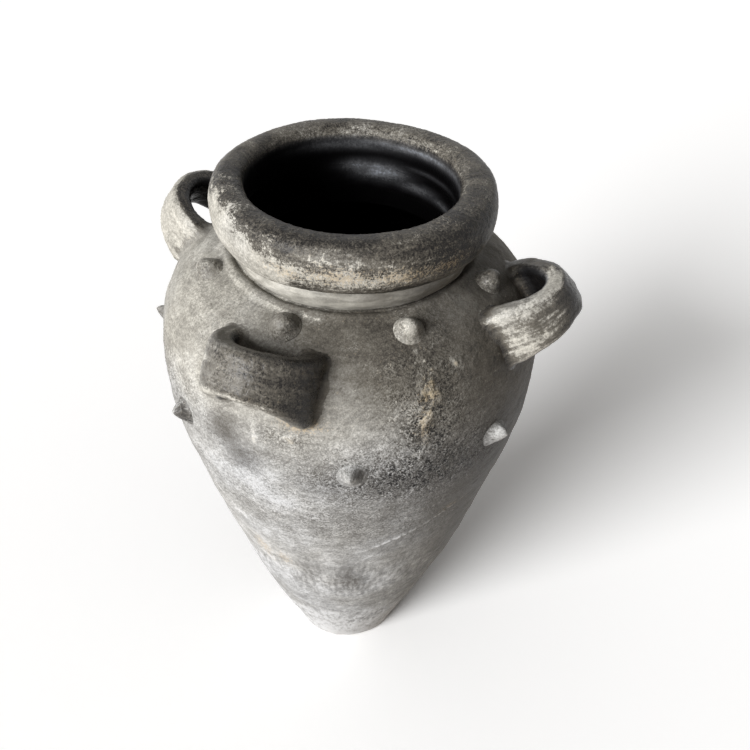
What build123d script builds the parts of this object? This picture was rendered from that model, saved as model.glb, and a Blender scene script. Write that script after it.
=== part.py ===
from build123d import *
import os
from math import atan2, cos, radians, sin

# Pithos: a tall fired-clay storage jar, raised in stacked rings of clay, with a rolled rim,
# four strap handles and two circles of knobs. Millimetres, +Z up, origin at the centre of the foot.
# The handles stand on the X and Y axes.

# Floor and wall
foot_radius = 81.4
floor_thickness = 22.0
wall_thickness = 14.0

# Outer curve from the foot to the neck: the rise of each stretch and the radius at its top, or how
# far its top lies inside the widest line
lower_rise = 176.0
lower_radius = 145.8
flank_rise = 254.0
flank_inset = 20.9
belly_rise = 138.0
belly_radius = 238.9
shoulder_rise = 112.0
shoulder_inset = 37.9
crown_rise = 28.0
foot_lean = 0.38
crown_lean = 0.2

# Neck band and rolled rim
mouth_radius = 123.6
neck_thickness = 18.7
neck_band_height = 34.0
neck_band_proud = 2.0
neck_band_bevel = 1.5
rim_thickness = 43.6
rim_height = 63.6
rim_bite = 5.6

# Joints between the rings: an inner tongue on each ring, under the skirt of the ring above it
tongue_height = 8.0
shoulder_joint_rise = 36.0
slip_gap = 0.3

# Strap handles, bent sideways, square to the wall; the strap's breadth is given above and below
# the handle's centre, at its roots and at its crown
handle_drop = 47.0
handle_span = 128.0
handle_reach = 68.0
handle_root_above = 35.0
handle_root_below = 41.0
handle_crown_above = 26.0
handle_crown_below = 24.0
loop_span = 76.0
loop_reach = 50.0
handle_edge_round = 8.0
handle_seat_depth = 4.0
handle_azimuths = {"handle_right": 3, "handle_back": 90, "handle_left": 174, "handle_front": 269}

# Knobs, pressed on by hand: one circle under the neck, one just below the widest line, where some
# sit a little higher or lower
knob_radius = 15.0
knob_height = 16.0
knob_waist_radius = 10.5
knob_waist_height = 10.0
knob_seat_depth = 3.0
shoulder_knob_drop = 10.0
shoulder_knob_azimuths = (2, 46, 90, 134, 179, 222, 270, 315)
belly_knob_drop = 16.0
belly_knob_azimuths = (24, 70, 112, 157, 199, 239, 295, 340)
belly_knob_lifts = (0, 4, -5, 3, 26, 0, 0, 0)

# Radii and heights that follow
flank_radius = belly_radius - flank_inset
shoulder_radius = belly_radius - shoulder_inset
neck_radius = mouth_radius + neck_thickness
lower_height = lower_rise
flank_height = lower_height + flank_rise
belly_height = flank_height + belly_rise
shoulder_height = belly_height + shoulder_rise
neck_height = shoulder_height + crown_rise
rim_seat_height = neck_height + neck_band_height
rim_centre_height = rim_seat_height - rim_bite + rim_height / 2
neck_band_radius = neck_radius + neck_band_proud
beyond = belly_radius + rim_height

# The outer curve is drawn as (radius, height): one stretch up to the widest line, one above it
with BuildLine() as outer_line:
    body_curve = Spline(
        (foot_radius, 0),
        (lower_radius, lower_height),
        (flank_radius, flank_height),
        (belly_radius, belly_height),
        tangents=((foot_lean, 1), (0, 1)),
    )
    crown_curve = Spline(
        (belly_radius, belly_height),
        (shoulder_radius, shoulder_height),
        (neck_radius, neck_height),
        tangents=((0, 1), (-1, crown_lean)),
    )


def wall_place(height):
    """Point on the outer curve at a height, and the curve's direction there, by halving."""
    curve = body_curve if height < belly_height else crown_curve
    halvings = 40
    low = 0.0
    high = 1.0
    for _ in range(halvings):
        middle = (low + high) / 2
        if (curve @ middle).Y < height:
            low = middle
        else:
            high = middle
    return curve @ low, curve % low


def inset(height, depth):
    """Point that lies a depth below the outer surface, square to it."""
    point, along = wall_place(height)
    return (point.X - along.Y * depth, point.Y + along.X * depth)


def inner_edges(depth):
    """The outer curve again, a depth further in, as two edges on the current line."""
    below = Spline(
        inset(0, depth),
        inset(lower_height, depth),
        inset(flank_height, depth),
        inset(belly_height, depth),
        tangents=((foot_lean, 1), (0, 1)),
    )
    above = Spline(
        inset(belly_height, depth),
        inset(shoulder_height, depth),
        inset(neck_height, depth),
        tangents=((0, 1), (-1, crown_lean)),
    )
    return below, above


def filled_section(depth):
    """Half section of everything that lies at least a depth inside the outer surface."""
    with BuildSketch() as section:
        with BuildLine():
            below, above = inner_edges(depth)
            Polyline(above @ 1, (0, (above @ 1).Y), (0, (below @ 0).Y), below @ 0)
        make_face()
    return section.sketch


def wall_section():
    """Half section of the jar's wall, with the stock for the tongue that enters the neck."""
    tongue_top = neck_height + tongue_height
    with BuildSketch() as section:
        with BuildLine():
            add(outer_line.line)
            below, above = inner_edges(wall_thickness)
            Line(below @ 0, (foot_radius, 0))
            Polyline(
                above @ 1,
                (mouth_radius, (above @ 1).Y),
                (mouth_radius, tongue_top),
                (neck_radius, tongue_top),
                (neck_radius, neck_height),
            )
        make_face()
    return section.sketch


def below_joint(joint):
    """Outline of all that lies under a lap joint: the tongue inside, the ledge outside."""
    height, radius = joint
    return [
        (0, -beyond),
        (beyond, -beyond),
        (beyond, height),
        (radius, height),
        (radius, height + tongue_height),
        (0, height + tongue_height),
    ]


def above_joint(joint):
    """Outline of all that lies over a lap joint, clear of the tongue by the slip gap."""
    height, radius = joint
    top = rim_centre_height + rim_height
    return [
        (0, top),
        (beyond, top),
        (beyond, height),
        (radius + slip_gap, height),
        (radius + slip_gap, height + tongue_height),
        (0, height + tongue_height),
    ]


def wall_joint(height):
    """A lap joint half way through the wall at a height."""
    point, _ = wall_place(height)
    return height, point.X - wall_thickness / 2


floor_joint = wall_joint(floor_thickness - tongue_height)
lower_joint = wall_joint(lower_height)
flank_joint = wall_joint(flank_height)
shoulder_joint = wall_joint(belly_height + shoulder_joint_rise)
neck_lap_radius = (mouth_radius + neck_band_radius) / 2
neck_joint = (neck_height, neck_lap_radius)
rim_joint = (rim_seat_height, neck_lap_radius)


def wall_plane(height, azimuth):
    """Plane on the wall: local x runs sideways, y stands out of the wall, z runs up along it."""
    point, along = wall_place(height)
    east = cos(radians(azimuth))
    north = sin(radians(azimuth))
    return Plane(
        origin=(point.X * east, point.X * north, point.Y),
        x_dir=(north, -east, 0),
        z_dir=(along.X * east, along.X * north, along.Y),
    )


def strap(plane, grow):
    """One strap loop, grown all round by a gap, with its two ends run on under the surface."""
    root_run = handle_span / 3
    half_turn = 180
    edges = (
        (1, handle_root_above, handle_crown_above),
        (-1, handle_root_below, handle_crown_below),
    )
    with BuildPart() as loop:
        with BuildSketch(plane):
            with BuildLine():
                outside = EllipticalCenterArc(
                    (0, 0), handle_span / 2 + grow, handle_reach + grow, arc_size=half_turn
                )
                inside = EllipticalCenterArc(
                    (0, 0), loop_span / 2 - grow, loop_reach - grow, arc_size=half_turn
                )
                for side in (0, 1):
                    outer_end = outside @ side
                    inner_end = inside @ side
                    Polyline(outer_end, (outer_end.X, -root_run), (inner_end.X, -root_run), inner_end)
            make_face()
        extrude(amount=handle_root_above + handle_root_below, both=True)
        for way, root_half, crown_half in edges:
            taper = atan2(root_half - crown_half, handle_reach)
            edge_plane = Plane(
                origin=plane.origin + plane.z_dir * way * (root_half + grow),
                x_dir=plane.x_dir,
                z_dir=plane.y_dir * sin(taper) + plane.z_dir * way * cos(taper),
            )
            split(bisect_by=edge_plane, keep=Keep.BOTTOM)
        sides = loop.faces().sort_by(Axis(plane.origin, plane.z_dir))
        bends = (sides[0].edges() + sides[-1].edges()).filter_by(GeomType.LINE, reverse=True)
        fillet(bends, radius=handle_edge_round + grow)
    return loop.part


def inner_core(depth):
    """Everything that lies at least a depth inside the outer surface, as one turned solid."""
    with BuildPart() as core:
        with BuildSketch(Plane.XZ):
            add(filled_section(depth))
        revolve(axis=Axis.Z)
    return core.part


def knob_seat(plane):
    """Round, flat-floored seat for one knob."""
    with BuildPart() as seat:
        with BuildSketch(plane):
            with Locations((0, -knob_seat_depth)):
                Rectangle(
                    knob_radius + slip_gap,
                    knob_seat_depth + knob_height,
                    align=(Align.MIN, Align.MIN),
                )
        revolve(axis=Axis(plane.origin, plane.y_dir))
    return seat.part


handle_height = neck_height - handle_drop
handle_planes = {name: wall_plane(handle_height, azimuth) for name, azimuth in handle_azimuths.items()}
knob_planes = {}
for number, azimuth in enumerate(shoulder_knob_azimuths, start=1):
    knob_planes[f"shoulder_knob_{number}"] = wall_plane(neck_height - shoulder_knob_drop, azimuth)
for number, (azimuth, lift) in enumerate(zip(belly_knob_azimuths, belly_knob_lifts), start=1):
    knob_planes[f"belly_knob_{number}"] = wall_plane(belly_height - belly_knob_drop + lift, azimuth)

# Seats sunk into the wall for the handles' roots and the knobs
seat_floor = inner_core(handle_seat_depth)
root_end = inner_core(handle_seat_depth - slip_gap)
seats = [knob_seat(plane) for plane in knob_planes.values()]
for plane in handle_planes.values():
    with BuildPart() as socket:
        add(strap(plane, slip_gap))
        add(seat_floor, mode=Mode.SUBTRACT)
    seats.append(socket.part)

os.makedirs("parts", exist_ok=True)

# Floor: a thick disc with a rebated edge that the first ring of the wall sits on
with BuildPart() as base_disc:
    with BuildSketch(Plane.XZ):
        add(filled_section(0))
        Polygon(*below_joint(floor_joint), align=None, mode=Mode.INTERSECT)
    revolve(axis=Axis.Z)
base_disc.part.label = "base_disc"
export_step(base_disc.part, "parts/base_disc.step")

# Four rings of wall, stacked on the floor, with the seats cut where they reach
wall_rings = {
    "lower_wall": (floor_joint, lower_joint, []),
    "flank_wall": (lower_joint, flank_joint, []),
    "belly_wall": (flank_joint, shoulder_joint, seats),
    "shoulder_wall": (shoulder_joint, neck_joint, seats),
}
for name, (foot_joint, head_joint, sunk_seats) in wall_rings.items():
    with BuildPart() as wall_ring:
        with BuildSketch(Plane.XZ):
            add(wall_section())
            Polygon(*above_joint(foot_joint), align=None, mode=Mode.INTERSECT)
            Polygon(*below_joint(head_joint), align=None, mode=Mode.INTERSECT)
        revolve(axis=Axis.Z)
        for seat in sunk_seats:
            add(seat, mode=Mode.SUBTRACT)
    wall_ring.part.label = name
    export_step(wall_ring.part, f"parts/{name}.step")

# Neck: a smooth upright band, a little proud of the shoulder, with a groove at its foot
with BuildPart() as neck_band:
    with BuildSketch(Plane.XZ):
        with BuildLine():
            Polyline(
                (mouth_radius, neck_height),
                (neck_band_radius - neck_band_bevel, neck_height),
                (neck_band_radius, neck_height + neck_band_bevel),
                (neck_band_radius, rim_seat_height),
                (neck_lap_radius, rim_seat_height + tongue_height),
                (mouth_radius, rim_seat_height + tongue_height),
                close=True,
            )
        make_face()
        Polygon(*above_joint(neck_joint), align=None, mode=Mode.INTERSECT)
        Polygon(*below_joint(rim_joint), align=None, mode=Mode.INTERSECT)
    revolve(axis=Axis.Z)
neck_band.part.label = "neck_band"
export_step(neck_band.part, "parts/neck_band.step")

# Rim: a thick oval roll seated over the neck, its inner side running down into the mouth's wall
with BuildPart() as rim_roll:
    with BuildSketch(Plane.XZ):
        with Locations((mouth_radius + rim_thickness / 2, rim_centre_height)):
            Ellipse(rim_thickness / 2, rim_height / 2)
            Rectangle(rim_thickness / 2, rim_height / 2, align=(Align.MAX, Align.MAX))
        Polygon(*above_joint(rim_joint), align=None, mode=Mode.INTERSECT)
    revolve(axis=Axis.Z)
rim_roll.part.label = "rim_roll"
export_step(rim_roll.part, "parts/rim_roll.step")

# Handles: the strap loops with their roots cut to the floor of their seats
for name, plane in handle_planes.items():
    with BuildPart() as handle:
        add(strap(plane, 0))
        add(root_end, mode=Mode.SUBTRACT)
    handle.part.label = name
    export_step(handle.part, f"parts/{name}.step")

# Knobs: domed pellets with a blunt tip, each on a round foot in its seat
for name, plane in knob_planes.items():
    with BuildPart() as knob:
        with BuildSketch(plane):
            with BuildLine():
                dome = Spline(
                    (knob_radius, 0),
                    (knob_waist_radius, knob_waist_height),
                    (0, knob_height),
                    tangents=((0, 1), (-1, 0)),
                )
                Polyline(dome @ 1, (0, -knob_seat_depth), (knob_radius, -knob_seat_depth), dome @ 0)
            make_face()
        revolve(axis=Axis(plane.origin, plane.y_dir))
    knob.part.label = name
    export_step(knob.part, f"parts/{name}.step")
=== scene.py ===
import math
from collections import namedtuple
from functools import reduce

import bpy
import numpy as np
from bpy.props import FloatProperty, FloatVectorProperty, IntProperty, PointerProperty
from mathutils import Matrix, Vector


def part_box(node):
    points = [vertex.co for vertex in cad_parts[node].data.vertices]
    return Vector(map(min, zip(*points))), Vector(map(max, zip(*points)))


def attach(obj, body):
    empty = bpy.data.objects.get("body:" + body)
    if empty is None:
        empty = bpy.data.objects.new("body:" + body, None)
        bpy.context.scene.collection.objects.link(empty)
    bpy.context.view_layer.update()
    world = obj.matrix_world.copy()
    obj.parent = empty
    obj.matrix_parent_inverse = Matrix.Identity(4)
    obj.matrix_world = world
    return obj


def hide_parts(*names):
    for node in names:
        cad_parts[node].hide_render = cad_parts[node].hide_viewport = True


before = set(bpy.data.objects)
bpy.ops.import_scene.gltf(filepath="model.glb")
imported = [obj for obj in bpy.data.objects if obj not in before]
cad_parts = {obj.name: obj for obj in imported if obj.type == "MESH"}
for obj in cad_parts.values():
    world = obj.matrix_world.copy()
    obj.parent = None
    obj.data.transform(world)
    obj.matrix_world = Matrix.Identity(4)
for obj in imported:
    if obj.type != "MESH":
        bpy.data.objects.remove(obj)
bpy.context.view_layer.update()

bl_info = {
    "name": "Pithos",
    "version": (1, 0, 0),
    "blender": (4, 5, 0),
    "location": "3D View > Sidebar > Pithos",
    "description": "Dresses a coil-built storage jar in weathered, hand-worked clay",
    "category": "Add Mesh",
}

BODY = "root"

WALL_NODES = ("lower_wall", "flank_wall", "belly_wall", "shoulder_wall")
HANDLE_NODES = ("handle_right", "handle_back", "handle_left", "handle_front")
KNOB_NODES = tuple(sorted(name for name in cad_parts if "_knob_" in name))

# Painted marks that the meshes carry and the clay reads. The dust, chalk and satin marks are partly painted
# light, highlight and sheen, and the soot mark is partly painted shade
MARKS = ("dust", "soot", "ochre", "crust", "coarse", "smooth", "chalk", "ridge", "satin_and_painted_sheen")

# How a handle departs from the common strap: its bend, and what is added to its sizes
StrapShape = namedtuple("StrapShape", "bend reach gap lift tilt crown_below root_below")

# How each part of a handle is toned: above 0 paler, below 0 darker. The darkening on the inside of each loop
# is painted shade
StrapWearAndShade = namedtuple("StrapWearAndShade", "face top bottom inside start crown end coarse")

# Where a handle is made pale, by chalk and, on the right handle's top edge at its crown, by a painted
# highlight:
# how much on its face and on its top edge, about which part of its run, and on its outer lower corner
StrapChalkAndLight = namedtuple("StrapChalkAndLight", "face face_at face_width top top_at top_width low")

# How a circle's knobs are pressed: the least and the most of each measure, and how pale their tips are made,
# by chalk and by a painted highlight on the side toward the window
KnobPress = namedtuple("KnobPress", "tall lean turn pinch point chalk")

# What sets one clay apart from the next
ClayLook = namedtuple("ClayLook", "tone cloud grain streak hatch roughness bump gloss")

# A cloudy pattern: its noise, and the range of it that is spread over another range
Pattern = namedtuple("Pattern", "scale detail roughness low high to_low to_high", defaults=(0.0, 1.0))


def length(name, about, default):
    """A size in metres."""
    return FloatProperty(name=name, description=about, default=default, unit="LENGTH")


def amount(name, about, default):
    """A plain number."""
    return FloatProperty(name=name, description=about, default=default, subtype="UNSIGNED")


def angle(name, about, degrees):
    """An angle, given here in degrees."""
    return FloatProperty(name=name, description=about, default=math.radians(degrees), subtype="ANGLE")


def colour(name, about, *default):
    """A linear colour."""
    return FloatVectorProperty(name=name, description=about, default=default, subtype="COLOR")


class PithosSizes(bpy.types.PropertyGroup):
    """Sizes of the jar's skin and of the pieces set on it."""

    skin_grain: length("Skin Grain", "Spacing of the points on the outer skin", 0.0021)
    wall: length("Wall", "Thickness of the thrown wall", 0.014)
    slip_gap: length("Slip Gap", "Room left in the lap joints", 0.0003)
    handle_drop: length("Handle Drop", "Height of the neck's groove above a handle's middle", 0.047)
    handle_span: length("Handle Span", "Width over a strap's two roots", 0.128)
    handle_reach: length("Handle Reach", "How far a strap stands off", 0.068)
    loop_span: length("Loop Span", "Width of the gap inside a strap", 0.076)
    loop_reach: length("Loop Reach", "Depth of the gap inside a strap", 0.050)
    root_above: length("Root Above", "A root's breadth above its middle", 0.035)
    root_below: length("Root Below", "A root's breadth below its middle", 0.041)
    crown_above: length("Crown Above", "A crown's breadth above its middle", 0.026)
    crown_below: length("Crown Below", "A crown's breadth below its middle", 0.024)
    strap_edge: length("Strap Edge", "Rounding of a strap's edges", 0.0085)
    root_smear: length("Root Smear", "Clay smeared from a handle onto the wall", 0.007)
    knob_radius: length("Knob Radius", "Radius of a knob's foot", 0.0150)
    knob_height: length("Knob Height", "Height of a knob", 0.0165)
    hand_wobble: length("Hand Wobble", "How far the whole form strays", 0.008)
    lumps: length("Lumps", "Height of soft lumps left by the hands", 0.0045)
    throwing: length("Throwing Lines", "Height of the lines round the jar", 0.0016)
    grit: length("Grit", "Height of the sandy grit", 0.0010)
    pits: length("Pits", "Depth of the pits", 0.0007)
    crust: length("Crust", "Height of the crusted streaks", 0.0022)
    ridge: length("Ridge", "Height of drips and scored lines", 0.0018)
    foot_round: length("Foot Round", "Rounding worn on the foot's edge", 0.007)
    crumbs: amount("Crumbs", "Crumbs to the square metre in the crust", 70000.0)
    seed: IntProperty(
        name="Seed", description="Draw of all that is left to chance", default=7, subtype="UNSIGNED"
    )


class PithosColours(bpy.types.PropertyGroup):
    """Colours of the clay and of what has settled on it."""

    soot: colour("Soot", "Smoked black clay", 0.013, 0.012, 0.012)
    charcoal: colour("Charcoal", "Dark fired clay", 0.047, 0.0435, 0.0395)
    slate: colour("Slate", "Dark grey clay", 0.112, 0.104, 0.092)
    grey: colour("Grey", "Plain fired clay", 0.205, 0.199, 0.186)
    dust: colour("Dust", "Dust rubbed into the clay", 0.350, 0.342, 0.320)
    pale: colour("Pale", "Worn, chalky clay", 0.560, 0.550, 0.522)
    ochre: colour("Ochre", "Sandy earth in the pores", 0.420, 0.340, 0.235)
    crust: colour("Crust", "Lime crust", 0.480, 0.410, 0.300)
    floor: colour("Floor", "Studio floor as the camera sees it", 1.0, 1.0, 1.0)
    floor_bounce: colour("Floor Bounce", "Studio floor as it lights the jar", 0.52, 0.45, 0.37)


class PithosStage(bpy.types.PropertyGroup):
    """Camera and lamps."""

    camera_place: FloatVectorProperty(
        name="Camera Place", description="Where the camera stands", default=(0.3617, -0.8123, 1.2449),
        subtype="TRANSLATION", unit="LENGTH", precision=4,
    )
    camera_look: FloatVectorProperty(
        name="Camera Look", description="Which way the camera looks", default=(-0.2846, 0.7116, -0.6424),
        subtype="DIRECTION",
    )
    camera_roll: angle("Camera Roll", "Turn about the line of sight", 2.24)
    lens: FloatProperty(name="Lens", description="Focal length in millimetres", default=40.8, unit="CAMERA")
    key_azimuth: angle("Key Azimuth", "Where the window light stands", 247.5)
    key_height: angle("Key Height", "Angle of the window light above the floor", 22.0)
    key_width: angle("Key Width", "How wide the window light looks from the jar", 31.0)
    key_strength: amount("Key Strength", "Strength of the window light", 5.7)
    room_colour: colour("Room Colour", "Colour of the room's light", 1.0, 0.90, 0.78)
    room_light: amount("Room Light", "Strength of the room's light", 0.06)
    # The floor's white lift fades near the jar over the floor shade distance: a painted shadow round its foot
    floor_lift: amount("Floor Lift", "White added to the open floor in the camera's eye", 0.29)
    floor_shade: length("Floor Shade", "How far the jar's nearness is felt on the floor", 1.3)
    floor_side: length("Floor Side", "Side of the square floor", 30.0)


# Where the jar is marked, by patches. Each has its azimuth in degrees, its height, its reach round the jar,
# its reach up the jar and its strength. The camera sees azimuths from about 200 to 30. The dust on the window
# side, from about azimuth 236 to 294, and round the foot is partly painted light; the chalk along the bead on
# the window side is partly a painted highlight; the soot on the right, from about azimuth 308 to 350, is
# partly painted shade.
WALL_MARKS = {
    "dust": [
        (250, 0.34, 0.26, 0.16, 0.62), (250, 0.52, 0.11, 0.06, 0.62), (70, 0.36, 0.3, 0.14, 0.45),
        (310, 0.3, 0.16, 0.12, 0.42), (236, 0.69, 0.13, 0.05, 0.3), (291, 0.65, 0.06, 0.04, 0.2),
        (294, 0.6, 0.06, 0.03, 0.4), (250, 0.48, 0.09, 0.08, 0.35), (290, 0.46, 0.08, 0.05, 0.25),
        (160, 0.64, 0.11, 0.07, 0.45), (95, 0.5, 0.12, 0.09, 0.4), (40, 0.68, 0.08, 0.04, 0.35),
        (200, 0.3, 0.09, 0.12, 0.3), (20, 0.33, 0.08, 0.09, 0.3), (285, 0.06, 0.2, 0.09, 1.0),
        (113, 0.05, 0.3, 0.08, 0.8), (285, 0.02, 0.2, 0.07, 1.0), (268, 0.5, 0.09, 0.06, 0.8),
        (281, 0.5, 0.07, 0.04, 0.6), (254, 0.7045, 0.07, 0.002, 1.0), (246, 0.6, 0.11, 0.06, 0.5),
        (240, 0.42, 0.12, 0.09, 0.6),
    ],
    "soot": [
        (308, 0.69, 0.17, 0.055, 1.0), (350, 0.66, 0.15, 0.08, 1.08), (350, 0.5, 0.12, 0.16, 1.0),
        (345, 0.33, 0.08, 0.11, 0.55), (330, 0.61, 0.06, 0.06, 0.4), (60, 0.69, 0.2, 0.035, 0.35),
        (150, 0.69, 0.12, 0.03, 0.3), (309, 0.538, 0.07, 0.028, 0.75), (321, 0.548, 0.06, 0.04, 0.8),
        (289, 0.536, 0.05, 0.018, 0.4), (258, 0.577, 0.022, 0.034, 1.0), (263, 0.545, 0.024, 0.024, 0.9),
        (343, 0.64, 0.03, 0.026, 0.8), (336, 0.56, 0.06, 0.04, 0.55), (350, 0.6, 0.09, 0.07, 0.45),
        (286, 0.678, 0.022, 0.024, 0.7), (295, 0.285, 0.024, 0.042, 0.9), (278, 0.305, 0.02, 0.04, 0.5),
        (335, 0.69, 0.09, 0.03, 0.4), (319, 0.652, 0.036, 0.04, 1.05), (316, 0.606, 0.03, 0.03, 0.75),
        (70, 0.6, 0.09, 0.06, 0.55), (130, 0.56, 0.07, 0.04, 0.5), (190, 0.56, 0.06, 0.03, 0.45),
        (10, 0.45, 0.1, 0.05, 0.4), (170, 0.42, 0.08, 0.04, 0.4), (60, 0.28, 0.05, 0.06, 0.45),
        (225, 0.38, 0.05, 0.03, 0.35),
    ],
    "ochre": [
        (281, 0.618, 0.026, 0.01, 1.25), (316, 0.646, 0.012, 0.014, 0.7), (314, 0.612, 0.012, 0.022, 0.8),
        (257, 0.322, 0.016, 0.034, 1.0), (267, 0.312, 0.014, 0.022, 0.85), (331, 0.434, 0.03, 0.008, 0.7),
        (100, 0.625, 0.03, 0.01, 0.7), (150, 0.38, 0.03, 0.03, 0.6), (30, 0.52, 0.02, 0.03, 0.6),
        (205, 0.21, 0.03, 0.02, 0.5),
    ],
    "crust": [
        (316, 0.648, 0.018, 0.022, 1.0), (315, 0.612, 0.016, 0.028, 0.95),
        (313, 0.566, 0.026, 0.03, 0.45), (318, 0.668, 0.028, 0.012, 0.6), (326, 0.668, 0.01, 0.008, 0.6),
        (279, 0.598, 0.022, 0.01, 0.75), (268, 0.588, 0.006, 0.018, 0.65),
        (345, 0.622, 0.016, 0.008, 0.6), (293, 0.182, 0.014, 0.008, 0.7), (257, 0.33, 0.012, 0.04, 0.45),
        (105, 0.59, 0.026, 0.04, 0.7), (15, 0.56, 0.022, 0.04, 0.6), (190, 0.47, 0.03, 0.03, 0.5),
    ],
    "smooth": [
        (290, 0.27, 0.16, 0.07, 0.9), (293, 0.08, 0.3, 0.08, 0.8), (113, 0.08, 0.3, 0.08, 0.8),
        (110, 0.28, 0.2, 0.07, 0.7), (200, 0.25, 0.12, 0.06, 0.6), (20, 0.25, 0.12, 0.06, 0.6),
    ],
    "coarse": [
        (314, 0.545, 0.12, 0.048, 0.95), (316, 0.61, 0.045, 0.07, 0.8), (285, 0.47, 0.26, 0.085, 0.3),
        (277, 0.596, 0.04, 0.014, 0.45), (120, 0.56, 0.24, 0.06, 0.8), (210, 0.57, 0.16, 0.05, 0.5),
        (30, 0.57, 0.16, 0.05, 0.6), (240, 0.69, 0.12, 0.04, 0.12),
    ],
    "chalk": [
        (250, 0.7052, 0.08, 0.0014, 1.0), (272, 0.585, 0.03, 0.016, 0.3), (254, 0.47, 0.05, 0.05, 0.28),
        (293, 0.181, 0.011, 0.006, 1.0),
    ],
}
# On the neck, the dust on the window side is partly painted light, and the soot on the right partly painted
# shade
NECK_MARKS = {
    "dust": [
        (255, 0.722, 0.08, 0.015, 0.4), (120, 0.722, 0.12, 0.015, 0.3),
    ],
    "soot": [
        (330, 0.725, 0.11, 0.02, 0.45), (30, 0.725, 0.11, 0.02, 0.4),
    ],
}
# On the rim, the dust and chalk on the lower outside from about azimuth 226 to 290 are partly painted light
# on the side toward the window, the dust on the inner lip near azimuth 65 is a painted highlight, and the
# soot on the right is partly painted shade
RIM_MARKS = {
    "dust": [
        (244, 0.758, 0.075, 0.022, 1.0), (290, 0.762, 0.085, 0.022, 0.95), (264, 0.76, 0.055, 0.022, 1.0),
        (226, 0.772, 0.07, 0.026, 1.0), (312, 0.76, 0.05, 0.014, 0.7), (100, 0.775, 0.15, 0.02, 0.3),
        (65, 0.794, 0.11, 0.006, 0.7), (20, 0.79, 0.04, 0.01, 0.3), (180, 0.765, 0.09, 0.02, 0.6),
        (10, 0.762, 0.07, 0.012, 0.35),
    ],
    "soot": [
        (212, 0.797, 0.035, 0.01, 0.7), (244, 0.799, 0.05, 0.01, 0.45), (285, 0.8, 0.09, 0.008, 0.4),
        (345, 0.78, 0.08, 0.03, 0.55), (310, 0.746, 0.07, 0.004, 0.6), (272, 0.748, 0.03, 0.003, 0.7),
        (40, 0.785, 0.08, 0.02, 0.4), (150, 0.765, 0.06, 0.012, 0.45),
    ],
    "ochre": [
        (270, 0.762, 0.03, 0.01, 0.7), (290, 0.766, 0.045, 0.011, 0.9), (312, 0.764, 0.045, 0.01, 0.9),
        (330, 0.764, 0.03, 0.008, 0.8), (80, 0.766, 0.06, 0.01, 0.7), (180, 0.764, 0.05, 0.01, 0.6),
    ],
    "chalk": [
        (243, 0.76, 0.082, 0.023, 1.5), (227, 0.771, 0.058, 0.025, 1.3), (286, 0.763, 0.09, 0.015, 0.72),
        (120, 0.758, 0.08, 0.01, 0.6), (185, 0.758, 0.06, 0.01, 0.55),
    ],
    "coarse": [
        (290, 0.766, 0.09, 0.016, 0.4), (90, 0.766, 0.09, 0.016, 0.4), (190, 0.766, 0.09, 0.016, 0.3),
        (350, 0.783, 0.11, 0.03, 0.6), (215, 0.792, 0.1, 0.02, 0.35), (270, 0.797, 0.12, 0.012, 0.3),
        (90, 0.79, 0.15, 0.02, 0.4),
    ],
}

# Where the knobs are made darker
KNOB_DARKENING = [
    (2, 0.69, 0.06, 0.06, 0.8), (272, 0.7, 0.03, 0.05, 0.6), (239, 0.555, 0.04, 0.04, 0.6),
    (222, 0.69, 0.04, 0.05, 0.35), (70, 0.62, 0.2, 0.15, 0.45), (150, 0.68, 0.1, 0.06, 0.45),
]

# Grey satin on the blackened inside of the mouth, partly painted highlight and reflection: it lies where the
# window light and the sky's reflection fall inside the mouth
MOUTH_SATIN_AND_SHEEN = [
    (72, 0.783, 0.14, 0.008, 0.95), (98, 0.743, 0.04, 0.014, 0.95), (72, 0.732, 0.045, 0.008, 0.6),
    (48, 0.729, 0.035, 0.007, 0.6), (62, 0.757, 0.06, 0.003, 0.4), (110, 0.748, 0.03, 0.01, 0.8),
    (118, 0.778, 0.08, 0.009, 0.6), (200, 0.788, 0.12, 0.007, 0.35), (320, 0.788, 0.14, 0.007, 0.35),
]

# Raised lines on the wall: the azimuths and heights that each runs through, half its width, its strength
WALL_STROKES = [
    (((296.0, 0.372), (304.0, 0.386), (312.0, 0.401), (321.0, 0.417), (331.0, 0.432)), 0.0019, 1.0),
    (((313.6, 0.694), (315.0, 0.686), (316.6, 0.678)), 0.0022, 0.95),
    (((325.6, 0.672), (326.6, 0.667), (328.6, 0.662)), 0.0018, 0.9),
    (((318.0, 0.67), (316.4, 0.656), (317.2, 0.641), (315.4, 0.628)), 0.003, 0.45),
    (((316.4, 0.628), (314.6, 0.612), (315.6, 0.598), (313.4, 0.58), (314.0, 0.56)), 0.003, 0.4),
    (((267.6, 0.6), (268.2, 0.588), (267.8, 0.575)), 0.0024, 0.6),
    (((243.0, 0.432), (252.0, 0.402), (261.0, 0.388)), 0.0016, 0.8),
    (((330.0, 0.286), (333.0, 0.276), (336.0, 0.279)), 0.0018, 0.5),
    (((290.5, 0.18), (293.5, 0.184), (296.5, 0.179)), 0.0024, 0.7),
    (((101.0, 0.64), (104.0, 0.615), (103.0, 0.59), (106.0, 0.562)), 0.0026, 0.6),
    (((14.0, 0.585), (16.0, 0.56), (14.5, 0.536)), 0.0024, 0.55),
    (((120.0, 0.41), (138.0, 0.428), (156.0, 0.42)), 0.0016, 0.5),
    (((195.0, 0.36), (208.0, 0.372), (222.0, 0.366)), 0.0016, 0.5),
    (((40.0, 0.33), (56.0, 0.342), (70.0, 0.338)), 0.0016, 0.45),
]

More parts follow.
